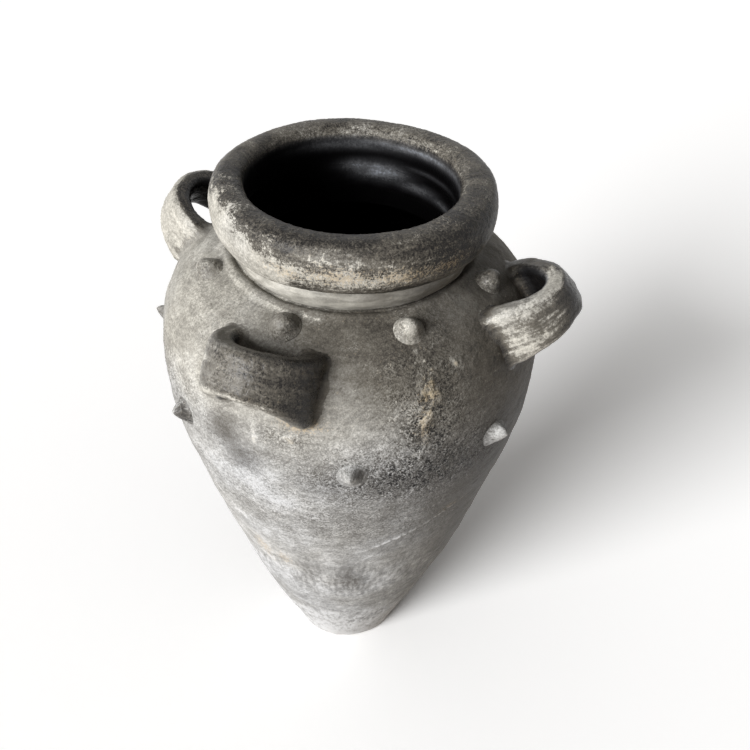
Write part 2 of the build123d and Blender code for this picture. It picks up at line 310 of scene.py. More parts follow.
# What sets the two circles of knobs, the four straps and the five clays apart
KNOB_PRESS = {
    "shoulder": KnobPress((0.95, 1.05), (-0.2, 0.2), (0.0, 6.28), (0.0, 0.25), (0.0, 0.25), 0.25),
    "belly": KnobPress((1.0, 1.15), (0.45, 0.7), (1.2, 1.95), (0.1, 0.3), (0.45, 0.7), 0.9),
}
STRAP_SHAPE = {
    "handle_right": StrapShape(1.95, 0.002, -0.006, 0.007, 0.22, 0.0, -0.004),
    "handle_back": StrapShape(2.0, 0.0, -0.007, 0.0, 0.2, 0.0, 0.0),
    "handle_left": StrapShape(2.05, -0.001, -0.004, 0.015, 0.0, 0.0, 0.0),
    "handle_front": StrapShape(1.95, -0.003, -0.011, 0.004, -0.05, 0.003, 0.004),
}
STRAP_WEAR_AND_SHADE = {
    "handle_right": StrapWearAndShade(0.0, 0.0, 0.15, -0.95, 0.2, -0.95, -0.6, 0.08),
    "handle_back": StrapWearAndShade(-0.05, 0.1, 0.25, -0.8, 0.1, -0.2, 0.1, 0.25),
    "handle_left": StrapWearAndShade(0.4, -0.8, 0.1, -1.0, 0.1, 0.0, -0.1, 0.25),
    "handle_front": StrapWearAndShade(-0.16, -0.1, 0.6, -0.95, 0.45, 0.0, -1.05, 0.34),
}
STRAP_CHALK_AND_LIGHT = {
    "handle_right": StrapChalkAndLight(0.66, 0.14, 0.22, 0.98, 0.46, 0.2, 0.18),
    "handle_back": StrapChalkAndLight(0.5, 0.8, 0.25, 0.5, 0.4, 0.25, 0.3),
    "handle_left": StrapChalkAndLight(0.95, 0.75, 0.6, 0.0, 0.5, 0.2, 0.4),
    "handle_front": StrapChalkAndLight(0.46, 0.24, 0.12, 0.2, 0.2, 0.15, 0.75),
}
LOOKS = {
    "wall_clay": ClayLook(0.72, 0.9, 1.0, 0.8, 0.1, 0.5, 0.5, 0.13),
    "neck_clay": ClayLook(0.74, 0.6, 0.4, 1.6, 0.0, 0.34, 0.2, 0.34),
    "rim_clay": ClayLook(0.37, 1.2, 1.2, 1.8, 0.03, 0.44, 0.5, 0.15),
    "handle_clay": ClayLook(0.55, 1.2, 0.6, 1.5, 0.05, 0.38, 0.35, 0.22),
    "knob_clay": ClayLook(0.68, 0.9, 0.7, 0.2, 0.05, 0.4, 0.35, 0.26),
}

# Noise of the soft lumps, the lines round the jar and the crust's ridges: scale, detail and roughness
LUMP_NOISE = (26.0, 2.0, 0.5)
LINE_NOISE = (75.0, 3.0, 0.6)
RIDGE_NOISE = (95.0, 4.0, 0.6)
SKIN_PATTERNS = {
    "sand": Pattern(230.0, 3.0, 0.6, 0.34, 0.66),
    "pitted": Pattern(60.0, 2.0, 0.5, 0.50, 0.68),
    "ridged": Pattern(40.0, 1.0, 0.5, 0.35, 0.70),
    "broken": Pattern(130.0, 2.0, 0.5, 0.40, 0.60),
}

# How the seed shifts the skin's patterns, and what shapes its stray, lines, pits, ridges and crumbs
SKIN_SEED_STEP = (0.37, 0.71, 0.13)
STRAY_NOISE = (4.5, 1.0)
FOOT_HOLD = (0.0, 0.16)
LINE_GIRTH = 0.03
SKIN_ROUGH = 0.30
PIT_SCALE = 150.0
PIT_EDGE = (0.10, 0.36)
RIDGE_EDGE = (0.13, 0.0)
MILLIMETRES = 1000.0
CRUMB_POWER = 3.0
CRUMB_LEAST = (0.0004, 0.0004, 0.0003)
CRUMB_MOST = (0.0011, 0.0011, 0.0007)
CRUMB_MARKS = {"crust": 1.0, "relief": 0.6}

# The pellet that a knob is pressed from: its mesh, dome, cone, smeared foot, pinch and dents
PELLET = {"Segments": 72, "Rings": 56, "Radius": 1.0}
DOME_POWER = 2.2
DOME_ROUND = 0.58
CONE_POWER = 1.25
SMEAR_FALL = -420.0
PINCH_RANGE = (0.0, 0.9)
KNOB_SEED_STEP = (0.17, 0.29, 0.41)
DENT_NOISE = (1.6, 2.0)
DENTS = 0.0020

# Patterns in the clay
CLAY_PATTERNS = {
    "broad": Pattern(8.5, 4.0, 0.6, 0.32, 0.68),
    "cloud": Pattern(34.0, 4.0, 0.6, 0.32, 0.68),
    "patchy": Pattern(85.0, 4.0, 0.65, 0.34, 0.66),
    "grain": Pattern(290.0, 3.0, 0.7, 0.36, 0.64),
    "speck": Pattern(640.0, 1.0, 0.5, 0.34, 0.66),
    "streak": Pattern(150.0, 3.0, 0.6, 0.34, 0.66),
    "band": Pattern(62.0, 2.0, 0.5, 0.46, 0.60),
    "stroke": Pattern(190.0, 3.0, 0.6, 0.34, 0.66),
    "hatch": Pattern(240.0, 3.0, 0.6, 0.34, 0.66),
    "fleck": Pattern(400.0, 4.0, 0.7, 0.46, 0.53, -1.0, 0.0),
    "chip": Pattern(330.0, 4.0, 0.7, 0.56, 0.62),
}

# How patterns are drawn out along a strap, round the jar, upright and on a slant
STRAP_STRETCH = (0.16, 1.0, 1.0)
STREAK_GIRTH = 0.035
BAND_GIRTH = 0.012
STROKE_STRETCH = (1.0, 1.0, 0.1)
HATCH_TWIST = -5.0
HATCH_STRETCH = (1.0, 1.0, 0.14)
CHIP_SHIFT = (0.31, 0.17, 0.53)

# How far patterns sway the clay's tone, the edge and tone of the chalk and painted highlight, the satin and
# painted sheen, and the sandy earth
TONE_SWAY = {"cloud": 0.08, "broad": 0.10, "patchy": 0.06}
FINE_SWAY = {"grain": 0.24, "speck": 0.24}
STREAK_SWAY = 0.12
STROKE_SWAY = 0.32
CHALK_AND_LIGHT_EDGE_SWAY = {"patchy": 0.22, "streak": 0.34, "cloud": 0.24}
CHALK_AND_LIGHT_SWAY = {"cloud": 0.10, "streak": 0.12, "grain": 0.14}
SATIN_AND_SHEEN_SWAY = {"streak": 0.14, "grain": 0.18}
OCHRE_SWAY = {"grain": 0.7, "speck": 0.7, "cloud": 0.2}
COOL_SWAY = 0.4

# How far marks move the clay's tone, from soot at nought to pale at one
RELIEF_TONE = 0.16
RIDGE_TONE = (0.06, 0.24)
DUST_AND_LIGHT_TONE = 0.36
SOOT_AND_SHADE_TONE = -0.46
CHALK_AND_LIGHT_TONE = 0.86
CHALK_AND_LIGHT_FLECK = 0.12
SATIN_AND_SHEEN_TONE = 0.52
SATIN_AND_SHEEN_CHIP = 0.16
INSIDE_LINES = 0.04

# Plain clay's roughness of tone and what coarse and smooth marks add to it, and how marks break up
ROUGH = 0.34
COARSE_ROUGH = 0.9
SMOOTH_ROUGH = -0.25
HATCH_BASE = 0.25
BREAK_UP = 0.50
BREAK_CLOUD = 0.35
BREAK_GRAIN = 0.20
FLECKED = 0.05
COARSE_FLECKED = 0.85
CHIPPED = 0.5

# Where a mark begins and where it is full, and how far it covers the clay
CHALK_AND_LIGHT_EDGE = (0.28, 0.70)
OCHRE_EDGE = (0.50, 1.15)
OCHRE_COVER = 0.60
LIME_EDGE = (0.25, 1.10)
LIME_COVER = 0.75

# Heights between which the clay turns cool, and how far; the last are the heights below which the inside
# turns black, a painted shadow of the lip in the mouth and painted shade inside the handles' loops
COOL_BELLY = (0.66, 0.53, 0.0, 0.85)
COOL_FOOT = (0.22, 0.06, 0.0, 0.25)
PAINTED_SHADE_BELOW = (0.738, 0.718)

# What the clay's colour and its sheen are multiplied by; the dark inside tint and its dull sheen are partly
# painted shade, and the blue inside tint is part of the painted shade in the loops and of the painted sheen
# in the mouth
WARM_TINT = (1.0, 0.98, 0.93)
COOL_TINT = (0.955, 0.985, 1.06)
INSIDE_TINT = (0.86, 0.95, 1.14)
DARK_INSIDE_AND_SHADE_TINT = (0.10, 0.10, 0.11)
DARK_INSIDE_AND_SHADE_SHEEN = (0.10, 0.10, 0.10)
WHITE = (1.0, 1.0, 1.0)

# The surface: how roughness follows tone, and the fine tooth that the light catches
SHINE_TONES = (0.0, 0.8)
SHINE_SPREAD = 0.14
GRAIN_TOOTH = 0.65
SPECK_TOOTH = 0.35
TOOTH_DEPTH = 0.0011


def rgba(shade):
    """A colour as a socket takes it; a socket stays as it is."""
    return shade if isinstance(shade, bpy.types.NodeSocket) else (*shade, 1.0)


class Wires:
    """Wiring of one node tree, where every value is a socket or a plain number."""

    def __init__(self, tree):
        self.tree = tree

    @classmethod
    def fresh(cls, owner):
        """The emptied tree of a material or a world."""
        owner.use_nodes = True
        owner.node_tree.nodes.clear()
        return cls(owner.node_tree)

    def node(self, kind, values=None, **settings):
        """A new node with its settings, whose inputs are linked to sockets or set to plain values."""
        node = self.tree.nodes.new(kind)
        for name, value in settings.items():
            setattr(node, name, value)
        for key, value in (values or {}).items():
            if isinstance(value, bpy.types.NodeSocket):
                self.tree.links.new(value, node.inputs[key])
            else:
                node.inputs[key].default_value = value
        return node

    def out(self, kind, values=None, socket=0, **settings):
        """One output of a new node."""
        return self.node(kind, values, **settings).outputs[socket]

    def maths(self, operation, *values):
        """One sum on plain numbers."""
        return self.out("ShaderNodeMath", dict(enumerate(values)), operation=operation)

    def vectors(self, operation, *values):
        """One sum on vectors that gives a vector."""
        return self.out("ShaderNodeVectorMath", dict(enumerate(values)), operation=operation)

    def total(self, *values):
        """The sum of several values."""
        return reduce(lambda first, second: self.maths("ADD", first, second), values)

    def product(self, *values):
        """Several values multiplied."""
        return reduce(lambda first, second: self.maths("MULTIPLY", first, second), values)

    def rest(self, value):
        """What a value leaves of one."""
        return self.maths("SUBTRACT", 1.0, value)

    def scaled(self, vector, factor):
        """A vector made longer or shorter."""
        return self.out("ShaderNodeVectorMath", {0: vector, "Scale": factor}, operation="SCALE")

    def noise(self, vector, scale, detail, roughness=0.5, socket=0):
        """A cloudy value about one half; the second socket gives a vector of them."""
        values = {"Vector": vector, "Scale": scale, "Detail": detail, "Roughness": roughness}
        return self.out("ShaderNodeTexNoise", values, socket)

    def stray(self, vector, scale, detail, size):
        """A cloudy vector about nothing."""
        cloudy = self.noise(vector, scale, detail, socket=1)
        return self.scaled(self.vectors("SUBTRACT", cloudy, (0.5, 0.5, 0.5)), size)

    def swing(self, value, size):
        """A cloudy value turned into a swing either side of nothing."""
        return self.product(self.maths("SUBTRACT", value, 0.5), size)

    def ease(self, value, low, high, to_low=0.0, to_high=1.0):
        """A value eased from one range into another."""
        values = {0: value, 1: low, 2: high, 3: to_low, 4: to_high}
        return self.out("ShaderNodeMapRange", values, interpolation_type="SMOOTHSTEP")

    def spread(self, vector, pattern):
        """A cloudy pattern spread over its range."""
        return self.ease(self.noise(vector, *pattern[:3]), *pattern[3:])

    def level(self, position, girth):
        """Places with the way round the jar drawn in to a girth, so that a pattern runs in level lines."""
        flat = self.vectors("NORMALIZE", self.vectors("MULTIPLY", position, (1.0, 1.0, 0.0)))
        rise = self.vectors("MULTIPLY", position, (0.0, 0.0, 1.0))
        return self.vectors("ADD", self.scaled(flat, girth), rise)

    def between(self, share, first, second):
        """A number between two."""
        return self.out("ShaderNodeMix", {0: share, 2: first, 3: second})

    def blend(self, share, first, second, blend_type="MIX"):
        """A colour between two, or their product."""
        values = {0: share, 6: rgba(first), 7: rgba(second)}
        return self.out("ShaderNodeMix", values, 2, data_type="RGBA", blend_type=blend_type)

    def named(self, name, kind="FLOAT"):
        """A value stored on a mesh's points."""
        return self.out("GeometryNodeInputNamedAttribute", {"Name": name}, data_type=kind)

    def kept(self, geometry, name, value):
        """Geometry with a value stored on its points."""
        values = {"Geometry": geometry, "Name": name, "Value": value}
        return self.out("GeometryNodeStoreNamedAttribute", values, data_type="FLOAT")

    def end(self, geometry, clay):
        """Ends a Geometry Nodes tree in one plain mesh with its clay on it."""
        whole = self.out("GeometryNodeRealizeInstances", {"Geometry": geometry})
        dressed = self.out("GeometryNodeSetMaterial", {"Geometry": whole, "Material": clay})
        self.node("NodeGroupOutput", {0: dressed})
        return self.tree


# Geometry Nodes: the worked skin of every piece

def new_tree(name, amounts):
    """The wires of a new Geometry Nodes tree, and the sockets of what is handed in."""
    tree = bpy.data.node_groups.new(name, "GeometryNodeTree")
    tree.interface.new_socket("Geometry", in_out="OUTPUT", socket_type="NodeSocketGeometry")
    kinds = {"Geometry": "Geometry", **dict.fromkeys(amounts, "Float"), "Seed": "Int", "Clay": "Material"}
    for label, kind in kinds.items():
        tree.interface.new_socket(label, in_out="INPUT", socket_type=f"NodeSocket{kind}")
    wires = Wires(tree)
    return wires, wires.node("NodeGroupInput").outputs


def skin_tree():
    """Tree that strays, lumps, lines, roughens and crusts a smooth clay mesh, and scatters crumbs on it."""
    amounts = ("Hand Wobble", "Lumps", "Throwing Lines", "Grit", "Pits", "Crust", "Ridge", "Crumbs")
    w, given = new_tree("worked_clay_skin", amounts)
    place = w.out("GeometryNodeInputPosition")
    height = w.out("ShaderNodeSeparateXYZ", {0: place}, 2)
    drawn = w.vectors("ADD", place, w.scaled(SKIN_SEED_STEP, given["Seed"]))
    pattern = {label: w.spread(drawn, kind) for label, kind in SKIN_PATTERNS.items()}
    crusted = w.named("crust")
    rough = w.total(SKIN_ROUGH, w.named("coarse"))

    # The whole form strays a little, except where it stands
    stray = w.stray(drawn, *STRAY_NOISE, given["Hand Wobble"])
    stray = w.scaled(stray, w.ease(height, *FOOT_HOLD))

    # Soft lumps, lines round the jar, grit, pits, crusted ridges and drips stand out of the skin
    lumps = w.swing(w.noise(drawn, *LUMP_NOISE), given["Lumps"])
    lines = w.swing(w.noise(w.level(drawn, LINE_GIRTH), *LINE_NOISE), given["Throwing Lines"])
    sand = w.product(w.swing(pattern["sand"], given["Grit"]), rough)
    cells = w.out("ShaderNodeTexVoronoi", {"Vector": drawn, "Scale": PIT_SCALE})
    pits = w.product(w.ease(cells, *PIT_EDGE, -1.0, 0.0), pattern["pitted"], given["Pits"], rough)
    ridge = w.maths("ABSOLUTE", w.maths("SUBTRACT", w.noise(drawn, *RIDGE_NOISE), 0.5))
    ridges = w.product(w.ease(ridge, *RIDGE_EDGE), crusted, given["Crust"], pattern["ridged"])
    drips = w.product(w.named("ridge"), pattern["broken"], given["Ridge"])
    fine = w.total(sand, pits, ridges, drips)
    rise = w.product(w.total(lumps, lines, fine), w.named("skin"))
    push = w.scaled(w.named("out", "FLOAT_VECTOR"), rise)
    kept = w.kept(given["Geometry"], "relief", w.product(fine, MILLIMETRES))
    moved = w.out("GeometryNodeSetPosition", {"Geometry": kept, "Offset": w.vectors("ADD", push, stray)})

    # Crumbs of lime lie where the crust is thickest
    density = w.product(w.maths("POWER", crusted, CRUMB_POWER), given["Crumbs"])
    spots = w.node(
        "GeometryNodeDistributePointsOnFaces",
        {"Mesh": moved, "Density": density, "Seed": given["Seed"]}, distribute_method="RANDOM",
    ).outputs
    crumb = w.out("GeometryNodeMeshIcoSphere", {"Radius": 1.0, "Subdivisions": 1})
    girth = w.out(
        "FunctionNodeRandomValue", {0: CRUMB_LEAST, 1: CRUMB_MOST, "Seed": given["Seed"]},
        data_type="FLOAT_VECTOR",
    )
    strewn = w.out(
        "GeometryNodeInstanceOnPoints",
        {"Points": spots[0], "Instance": crumb, "Rotation": spots[2], "Scale": girth},
    )
    loose = w.out("GeometryNodeRealizeInstances", {"Geometry": strewn})
    for name, value in CRUMB_MARKS.items():
        loose = w.kept(loose, name, value)
    joined = w.node("GeometryNodeJoinGeometry")
    for geometry in (loose, moved):
        w.tree.links.new(geometry, joined.inputs[0])
    return w.end(joined.outputs[0], given["Clay"])


def knob_tree():
    """Tree that presses one pellet of clay into a domed or pointed knob with a smeared foot."""
    w, given = new_tree("pressed_knob", ("Radius", "Height", "Root", "Smear", "Lean", "Pinch", "Point"))
    ball = w.out("GeometryNodeMeshUVSphere", PELLET)
    place = w.out("GeometryNodeInputPosition")
    east, north, up = w.node("ShaderNodeSeparateXYZ", {0: place}).outputs
    reach = w.maths("SQRT", w.total(w.maths("POWER", east, 2.0), w.maths("POWER", north, 2.0)))
    dome = w.maths("POWER", w.rest(w.maths("POWER", reach, DOME_POWER)), DOME_ROUND)
    cone = w.rest(w.maths("POWER", reach, CONE_POWER))
    share = w.between(given["Point"], dome, cone)
    above = w.product(share, given["Height"])
    below = w.product(share, given["Root"], -1.0)
    rise = w.between(w.maths("LESS_THAN", up, 0.0), above, below)
    smear = w.maths("EXPONENT", w.product(w.maths("ABSOLUTE", rise), SMEAR_FALL))
    spread = w.total(given["Radius"], w.product(smear, given["Smear"]))
    narrow = w.rest(w.product(given["Pinch"], w.ease(up, *PINCH_RANGE)))
    x = w.total(w.product(east, spread), w.product(rise, given["Lean"]))
    y = w.product(north, spread, narrow)
    spot = w.out("ShaderNodeCombineXYZ", {0: x, 1: y, 2: rise})
    shaped = w.out("GeometryNodeSetPosition", {"Geometry": ball, "Position": spot})
    drawn = w.vectors("ADD", place, w.scaled(KNOB_SEED_STEP, given["Seed"]))
    dents = w.stray(drawn, *DENT_NOISE, DENTS)
    return w.end(w.out("GeometryNodeSetPosition", {"Geometry": shaped, "Offset": dents}), given["Clay"])


def run_tree(piece, tree, **values):
    """Runs a tree on a piece with its inputs set by identifier, and keeps the result as a plain mesh."""
    modifier = piece.modifiers.new(tree.name, "NODES")
    modifier.node_group = tree
    for item in tree.interface.items_tree:
        if item.in_out == "INPUT" and item.name in values:
            modifier[item.identifier] = values[item.name]
    graph = bpy.context.evaluated_depsgraph_get()
    graph.update()
    made = bpy.data.meshes.new_from_object(
        piece.evaluated_get(graph), preserve_all_data_layers=True, depsgraph=graph
    )
    if not made.polygons:
        raise RuntimeError(f"{tree.name} made no faces for {piece.name}")
    piece.modifiers.remove(modifier)
    old = piece.data
    piece.data = made
    made.name = piece.name
    bpy.data.meshes.remove(old)


# Materials

def clay_material(name, colours):
    """Fired clay: clouds and grain between soot and chalk, sandy earth in the pores, lime on the crust, and
    painted light and shade carried by its marks.
    """
    look = LOOKS[name]
    material = bpy.data.materials.new(f"fired_{name}")
    w = Wires.fresh(material)
    place = w.out("ShaderNodeTexCoord", socket="Object")
    height = w.out("ShaderNodeSeparateXYZ", {0: place}, 2)
    mark = {
        label: w.out("ShaderNodeAttribute", socket="Fac", attribute_name=label)
        for label in (*MARKS, "relief", "inside")
    }
    inside = mark["inside"]

    # Patterns that run level, along a strap, upright or on a slant have their own places
    if name == "handle_clay":
        run = w.out("ShaderNodeAttribute", socket="Vector", attribute_name="run")
        level = w.vectors("MULTIPLY", run, STRAP_STRETCH)
    else:
        level = w.level(place, STREAK_GIRTH)
    slanted = w.out(
        "ShaderNodeVectorRotate", {"Vector": place, "Angle": w.product(height, HATCH_TWIST)},
        rotation_type="Z_AXIS",
    )
    places = {
        "streak": level,
        "band": w.level(place, BAND_GIRTH),
        "stroke": w.vectors("MULTIPLY", place, STROKE_STRETCH),
        "hatch": w.vectors("MULTIPLY", slanted, HATCH_STRETCH),
        "chip": w.vectors("ADD", place, CHIP_SHIFT),
    }
    pattern = {label: w.spread(places.get(label, place), kind) for label, kind in CLAY_PATTERNS.items()}
    cloud, patchy, grain, streak = (pattern[label] for label in ("cloud", "patchy", "grain", "streak"))

    def swayed(sways, factor=1.0):
        """Several patterns' swings."""
        return [w.swing(pattern[label], size * factor) for label, size in sways.items()]

    # Tone, from soot at nought to pale at one
    rough = w.total(ROUGH, w.product(mark["coarse"], COARSE_ROUGH), w.product(mark["smooth"], SMOOTH_ROUGH))
    fine = w.total(*swayed(FINE_SWAY, look.grain))
    break_up = w.total(BREAK_UP, w.product(cloud, BREAK_CLOUD), w.product(grain, BREAK_GRAIN))
    flecked = w.total(FLECKED * look.grain, w.product(mark["coarse"], COARSE_FLECKED, patchy))
    tone = w.total(
        look.tone,
        *swayed(TONE_SWAY, look.cloud),
        w.product(fine, rough),
        w.product(pattern["fleck"], flecked),
        w.product(pattern["chip"], flecked, CHIPPED),
        w.swing(streak, STREAK_SWAY * look.streak),
        w.product(w.swing(pattern["hatch"], look.hatch), w.total(HATCH_BASE, cloud)),
        w.product(w.swing(pattern["stroke"], STROKE_SWAY), mark["smooth"]),
        w.product(mark["relief"], RELIEF_TONE),
        w.product(mark["ridge"], w.ease(patchy, 0.0, 1.0, *RIDGE_TONE)),
        # Dust lifts the tone; on the window side and round the foot this lift is partly painted light
        w.product(mark["dust"], break_up, DUST_AND_LIGHT_TONE),
        # Soot darkens the tone; on the right, away from the window, this is partly painted shade
        w.product(mark["soot"], break_up, SOOT_AND_SHADE_TONE),
    )
    # Chalk, partly a painted highlight on the rim's lower left, on the knobs' lit side and on the right
    # handle's top edge
    chalk_and_light_cover = w.ease(w.total(mark["chalk"], *swayed(CHALK_AND_LIGHT_EDGE_SWAY), fine), *CHALK_AND_LIGHT_EDGE)
    chalk_and_light_tone = w.total(CHALK_AND_LIGHT_TONE, *swayed(CHALK_AND_LIGHT_SWAY), w.product(pattern["fleck"], CHALK_AND_LIGHT_FLECK))
    # The mouth's grey satin, partly painted highlight and reflection
    satin_and_sheen_tone = w.product(mark["satin_and_painted_sheen"], w.total(SATIN_AND_SHEEN_TONE, *swayed(SATIN_AND_SHEEN_SWAY)))
    within = w.total(
        satin_and_sheen_tone, w.product(pattern["band"], streak, INSIDE_LINES),
        w.product(pattern["chip"], mark["satin_and_painted_sheen"], SATIN_AND_SHEEN_CHIP),
    )
    tone = w.between(inside, w.between(chalk_and_light_cover, tone, chalk_and_light_tone), within)

    # Colour: a ramp of clays, then sandy earth, lime and a warm or cool tint
    ramp = w.node("ShaderNodeValToRGB", {0: tone})
    stops = ramp.color_ramp.elements
    shades = (colours.soot, colours.charcoal, colours.slate, colours.grey, colours.dust, colours.pale)
    stops[0].color = rgba(shades[0])
    stops[1].color = rgba(shades[-1])
    for number, shade in enumerate(shades[1:-1], 1):
        stops.new(number / (len(shades) - 1)).color = rgba(shade)
    sandy = w.ease(w.total(mark["ochre"], *swayed(OCHRE_SWAY)), *OCHRE_EDGE)
    skin = w.blend(w.product(sandy, w.rest(inside), OCHRE_COVER), ramp.outputs[0], colours.ochre)
    limed = w.ease(w.product(mark["crust"], mark["relief"]), *LIME_EDGE)
    skin = w.blend(w.product(limed, patchy, LIME_COVER), skin, colours.crust)
    cool = w.total(
        w.ease(height, *COOL_BELLY), w.ease(height, *COOL_FOOT), w.swing(pattern["broad"], COOL_SWAY), inside
    )
    # The blackened inside, near black with dull sheen where it has no satin, and below the lip's painted
    # shadow line and inside the handles' loops as painted shade
    dark_inside_and_painted_shade = w.product(inside, w.maths("MAXIMUM", w.rest(mark["satin_and_painted_sheen"]), w.ease(height, *PAINTED_SHADE_BELOW)))
    tint = w.blend(inside, w.blend(cool, WARM_TINT, COOL_TINT), INSIDE_TINT)
    skin = w.blend(1.0, skin, w.blend(dark_inside_and_painted_shade, tint, DARK_INSIDE_AND_SHADE_TINT), "MULTIPLY")

    # Surface
    shine = w.ease(tone, *SHINE_TONES, look.roughness - SHINE_SPREAD, look.roughness + SHINE_SPREAD)
    tooth = w.total(w.product(grain, GRAIN_TOOTH), w.product(pattern["speck"], SPECK_TOOTH))
    tooth = w.product(tooth, w.total(rough, mark["crust"]))
    bump = w.out("ShaderNodeBump", {"Height": tooth, "Strength": look.bump, "Distance": TOOTH_DEPTH})
    surface = w.out("ShaderNodeBsdfPrincipled", {
        "Base Color": skin, "Roughness": shine, "Specular IOR Level": look.gloss,
        "Specular Tint": w.blend(dark_inside_and_painted_shade, WHITE, DARK_INSIDE_AND_SHADE_SHEEN), "Normal": bump,
    })
    w.node("ShaderNodeOutputMaterial", {0: surface})
    return material


def clay(name):
    """The clay of one slot, made once."""
    return bpy.data.materials.get(f"fired_{name}") or clay_material(name, bpy.context.scene.pithos_colours)


# Outlines read from the frame, and meshes

SHARP_FROM = math.radians(52.0)
SAME_SPOT = 1e-6
SAME_LEVEL = 2e-5


def read_rows(items, field):
    """A vector of each item, one row each."""
    rows = np.empty(len(items) * 3, np.float32)
    items.foreach_get(field, rows)
    return rows.reshape(-1, 3)


def read_points(mesh):
    """The points of a mesh, one row each."""
    return read_rows(mesh.vertices, "co").astype(float)


def normals_of(mesh):
    """The way that a mesh faces at each of its points."""
    return read_rows(mesh.vertex_normals, "vector")


def node_points(name):
    """A CAD node's points, in the shared frame."""
    return read_points(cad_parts[name].data)


def node_radius(name, pick):
    """Least or greatest distance of a node's points from the jar's axis."""
    points = node_points(name)
    return float(pick(np.hypot(points[:, 0], points[:, 1])))


def node_azimuth(name):
    """Where a CAD node lies round the jar, and its middle."""
    centre = node_points(name).mean(axis=0)
    return math.atan2(centre[1], centre[0]), centre


def run_along(line):
    """How far along a line each of its points lies."""
    return np.r_[0.0, np.cumsum(np.hypot(*np.diff(line, axis=0).T))]


def line_facing(radius, height):
    """The way that a half section's line faces: its outward and upward shares."""
    out_r, out_z = np.gradient(height), -np.gradient(radius)
    size = np.hypot(out_r, out_z)
    return out_r / size, out_z / size


class WallCurve:
    """The wall's outer curve, from the foot up to the neck's groove, evenly spaced along its length."""

    HUB = np.array([0.08, 0.45])
    BINS = 260
    END_ROOM = 0.004
    STEP = 0.001
    KERNEL = 13
    PASSES = 4
    DEGREE = 12
    STRAY = 0.003

    def __init__(self):
        points = np.vstack([node_points(name) for name in ("base_disc", *WALL_NODES)])
        flat = np.c_[np.hypot(points[:, 0], points[:, 1]), points[:, 2]]
        ends = []
        for level in (0.0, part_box("neck_band")[0].z):
            ends.append(np.array([flat[np.abs(flat[:, 1] - level) < SAME_LEVEL, 0].max(), level]))
        first, last = (math.atan2(*(end - self.HUB)[::-1]) for end in ends)
        arm = flat - self.HUB
        turn = np.arctan2(arm[:, 1], arm[:, 0])
        reach = np.hypot(arm[:, 0], arm[:, 1])
        within = (turn > first + self.END_ROOM) & (turn < last - self.END_ROOM)
        bins = ((turn - first) / (last - first) * self.BINS).astype(int)
        chosen = []
        for number in range(self.BINS):
            members = np.flatnonzero(within & (bins == number))
            if len(members):
                chosen.append(members[reach[members].argmax()])
        chosen = np.array(chosen)
        for _ in range(self.PASSES):
            usual = np.polynomial.Polynomial.fit(turn[chosen], reach[chosen], self.DEGREE)
            chosen = chosen[reach[chosen] > usual(turn[chosen]) - self.STRAY]
        self.set_line(np.vstack([ends[0], flat[chosen[np.argsort(turn[chosen])]], ends[1]]))

    def set_line(self, line):
        """Spaces the line evenly and softens what is left of the frame's facets."""
        run = run_along(line)
        self.run = np.r_[np.arange(0.0, run[-1], self.STEP), run[-1]]
        self.radius = np.interp(self.run, run, line[:, 0])
        self.height = np.interp(self.run, run, line[:, 1])
        kernel = np.hanning(self.KERNEL)
        kernel /= kernel.sum()
        edge = len(kernel) // 2
        for values in (self.radius, self.height):
            values[edge:-edge] = np.convolve(values, kernel, "valid")
        self.out_r, self.out_z = line_facing(self.radius, self.height)

    def at(self, height):
        """Radius of the skin and its outward direction (radial, upward) at heights."""
        known = (self.radius, self.out_r, self.out_z)
        return tuple(np.interp(height, self.height, values) for values in known)

    def stretch(self, low, high, depth, spacing):
        """Rows of (radius, height, out, up) between two heights, a depth under the skin, going up."""
        radius = self.radius - self.out_r * depth
        height = self.height - self.out_z * depth
        start, end = np.interp((low, high), height, self.run)
        count = max(2, int(round((end - start) / spacing)) + 1)
        run = np.linspace(start, end, count)
        return [np.interp(run, self.run, values) for values in (radius, height, self.out_r, self.out_z)]


def above_wall(curve, points):
    """How far points stand off the wall, and the way the wall faces there."""
    radius, out_r, out_z = curve.at(points[:, 2])
    reach = np.hypot(points[:, 0], points[:, 1])
    lift = (reach - radius) * out_r
    spin = points[:, :2] / reach[:, None]
    return lift, np.c_[spin * out_r[:, None], out_z]


class Section:
    """A closed half section, gathered piece by piece, with its outward directions and its share of skin."""

    def __init__(self):
        self.rows = []

    def add(self, radius, height, out_r=0.0, out_z=0.0, skin=0.0, inside=0.0):
        """Adds a stretch of the section."""
        values = np.broadcast_arrays(radius, height, out_r, out_z, skin, inside)
        self.rows.append(np.array([np.atleast_1d(value) for value in values]).T)

    def table(self):
        """All rows of the section, without those that repeat a place."""
        rows = np.vstack(self.rows)
        step = np.hypot(*(rows[:, :2] - np.roll(rows[:, :2], 1, axis=0)).T)
        return rows[step > SAME_SPOT]


